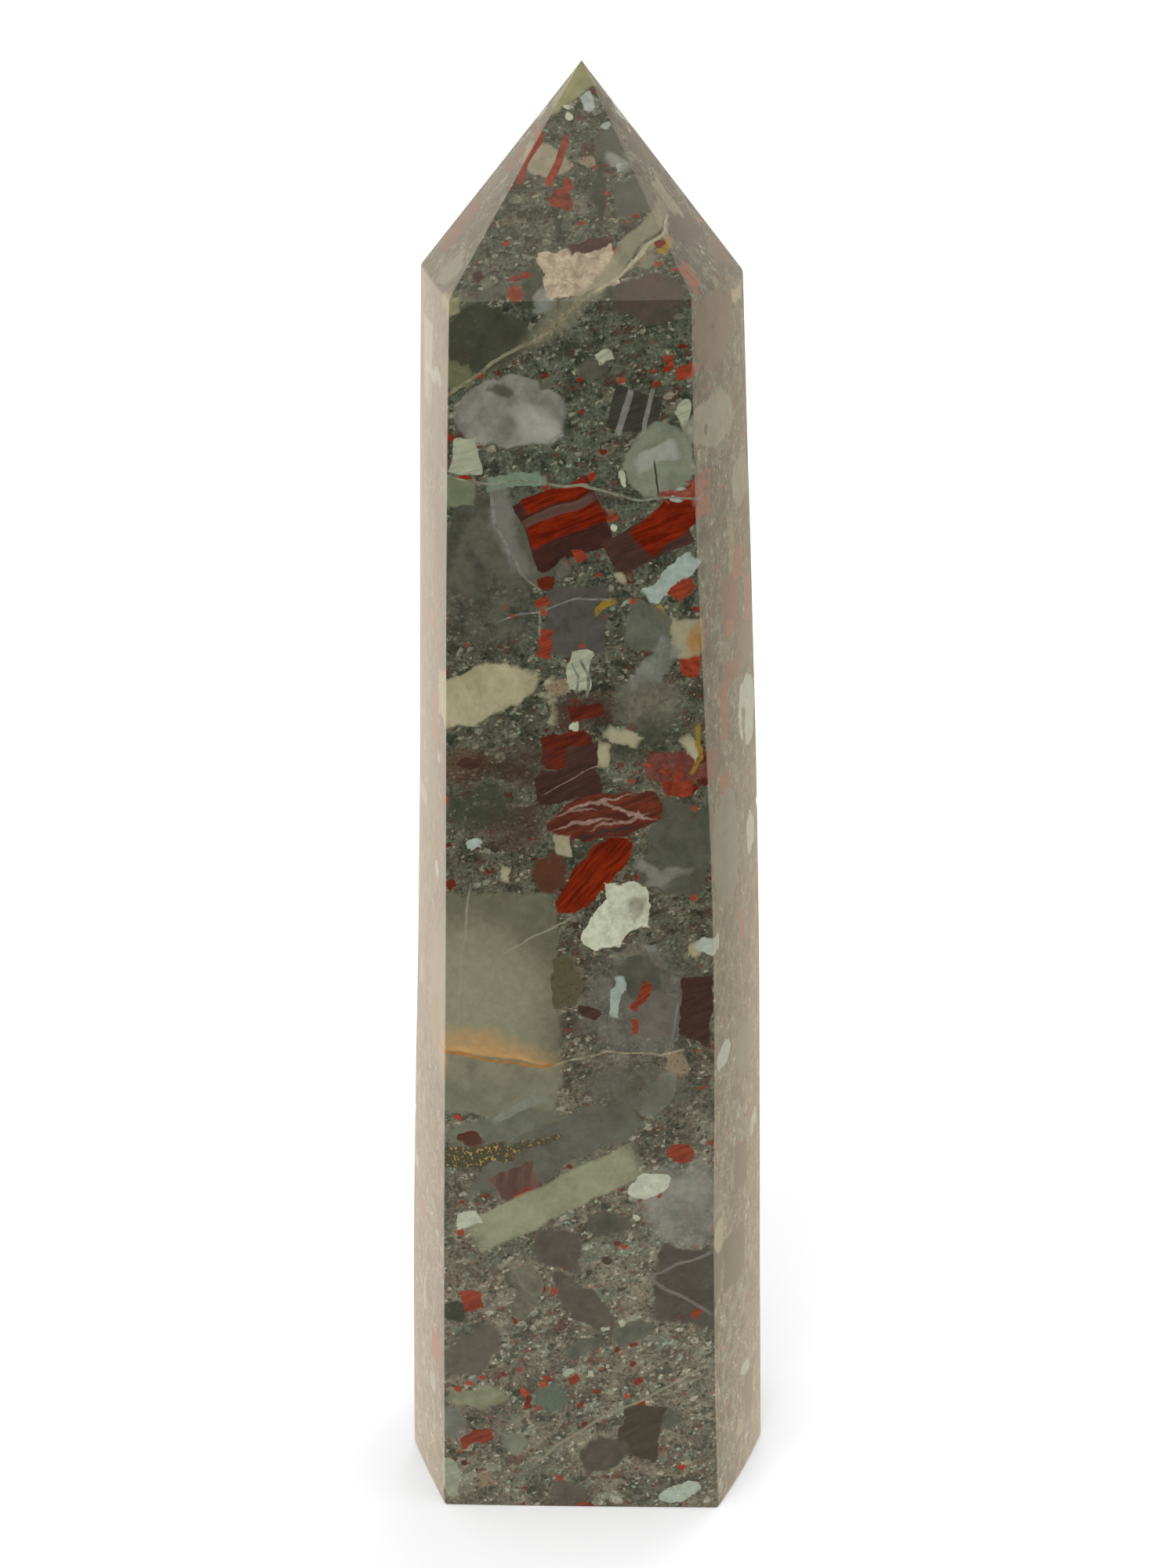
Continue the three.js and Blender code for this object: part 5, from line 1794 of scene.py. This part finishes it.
@dataclass
class Studio:
    """A pale floor, soft light all round, and the camera at the photograph's viewing angle."""

    distance: float = 942.7
    camera_height: float = 406.27
    pitch: float = 16.714
    focal_pixels: float = 7207.4
    frame_height: int = 2000
    sensor: float = 36.0
    nearest: float = 50.0
    furthest: float = 20000.0
    floor_width: float = 6000.0
    floor_lines: int = 9
    sky: Colour = (0.80, 0.76, 0.69, 1.0)
    glossy_sky: Colour = (1.05, 0.91, 0.735, 1.0)
    seen_sky: Colour = (1.05, 1.05, 1.05, 1.0)
    softboxes: tuple[Softbox, ...] = SOFTBOXES
    paint: FloorPaintAndGlow = FloorPaintAndGlow()

    def lay_floor(self) -> bpy.types.Object:
        """Makes the floor, a flat grid.

        Returns:
            The floor.
        """
        half = self.floor_width * MM / 2
        steps = np.linspace(-half, half, self.floor_lines)
        x, y = np.meshgrid(steps, steps)
        points = np.stack([x.ravel(), y.ravel(), np.zeros(x.size)], axis=-1)
        index = np.arange(x.size).reshape(x.shape)
        corners = (index[:-1, :-1], index[:-1, 1:], index[1:, 1:], index[1:, :-1])
        faces = np.stack(corners, axis=-1).reshape(-1, 4)
        mesh = bpy.data.meshes.new("floor")
        mesh.from_pydata(points.tolist(), [], faces.tolist())
        floor = bpy.data.objects.new("floor", mesh)
        bpy.context.scene.collection.objects.link(floor)
        mesh.materials.append(self.paint.make())
        return floor

    def hang_sky(self) -> None:
        """Makes the world: plain white to the camera, an even, slightly warm light on everything else, and a
        warmer one in the stone's polish."""
        world = bpy.data.worlds.new("studio")
        sheet = PatternSheet.of_owner(world)
        rays = sheet.add("ShaderNodeLightPath").outputs
        light = sheet.mix(rays["Is Glossy Ray"], self.sky, self.glossy_sky)
        light = sheet.mix(rays["Is Camera Ray"], light, self.seen_sky)
        background = sheet.add("ShaderNodeBackground", {"Color": light})
        sheet.add("ShaderNodeOutputWorld", {"Surface": background.outputs[0]})
        bpy.context.scene.world = world

    def hang_softboxes(self) -> None:
        """Hangs the soft lamps, each turned to face its aim."""
        for box in self.softboxes:
            lamp = bpy.data.lights.new(box.name, "AREA")
            lamp.shape = "DISK"
            lamp.size = box.width * MM
            lamp.energy = box.power
            lamp.color = box.colour
            holder = bpy.data.objects.new(box.name, lamp)
            holder.visible_glossy = False
            place, aim = Vector(box.place) * MM, Vector(box.aim) * MM
            holder.location = place
            holder.rotation_euler = (aim - place).to_track_quat("-Z", "Y").to_euler()
            bpy.context.scene.collection.objects.link(holder)

    def set_camera(self) -> None:
        """Sets the camera, whose focal length in pixels of the photograph's height gives its lens."""
        lens = bpy.data.cameras.new("camera")
        lens.sensor_width = self.sensor
        lens.lens = self.focal_pixels / self.frame_height * self.sensor
        lens.clip_start = self.nearest * MM
        lens.clip_end = self.furthest * MM
        camera = bpy.data.objects.new("camera", lens)
        camera.location = (0.0, -self.distance * MM, self.camera_height * MM)
        camera.rotation_euler = (math.radians(90 - self.pitch), 0.0, 0.0)
        bpy.context.scene.collection.objects.link(camera)
        bpy.context.scene.camera = camera

    def build(self) -> None:
        """Sets up the whole studio."""
        self.lay_floor()
        self.hang_sky()
        self.hang_softboxes()
        self.set_camera()
        bpy.context.scene.view_settings.view_transform = "Standard"
        LOG.info("studio: floor, sky, %d softboxes, camera", len(self.softboxes))


def main() -> None:
    """Builds the stone and the studio."""
    logging.basicConfig(level=logging.INFO, format="%(name)s: %(message)s")
    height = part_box(STONE_NODE)[1].z / MM
    stone = StoneShape(height=height).build("polished_stone", ZONES)
    breccia = Breccia()
    for zone in ZONES:
        stone.data.materials.append(breccia.build(zone))
    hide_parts(STONE_NODE)
    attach(stone, "root")
    LOG.info("piece %s: %d faces", stone.name, len(stone.data.polygons))
    Studio().build()
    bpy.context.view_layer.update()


if __name__ == "__main__":
    main()
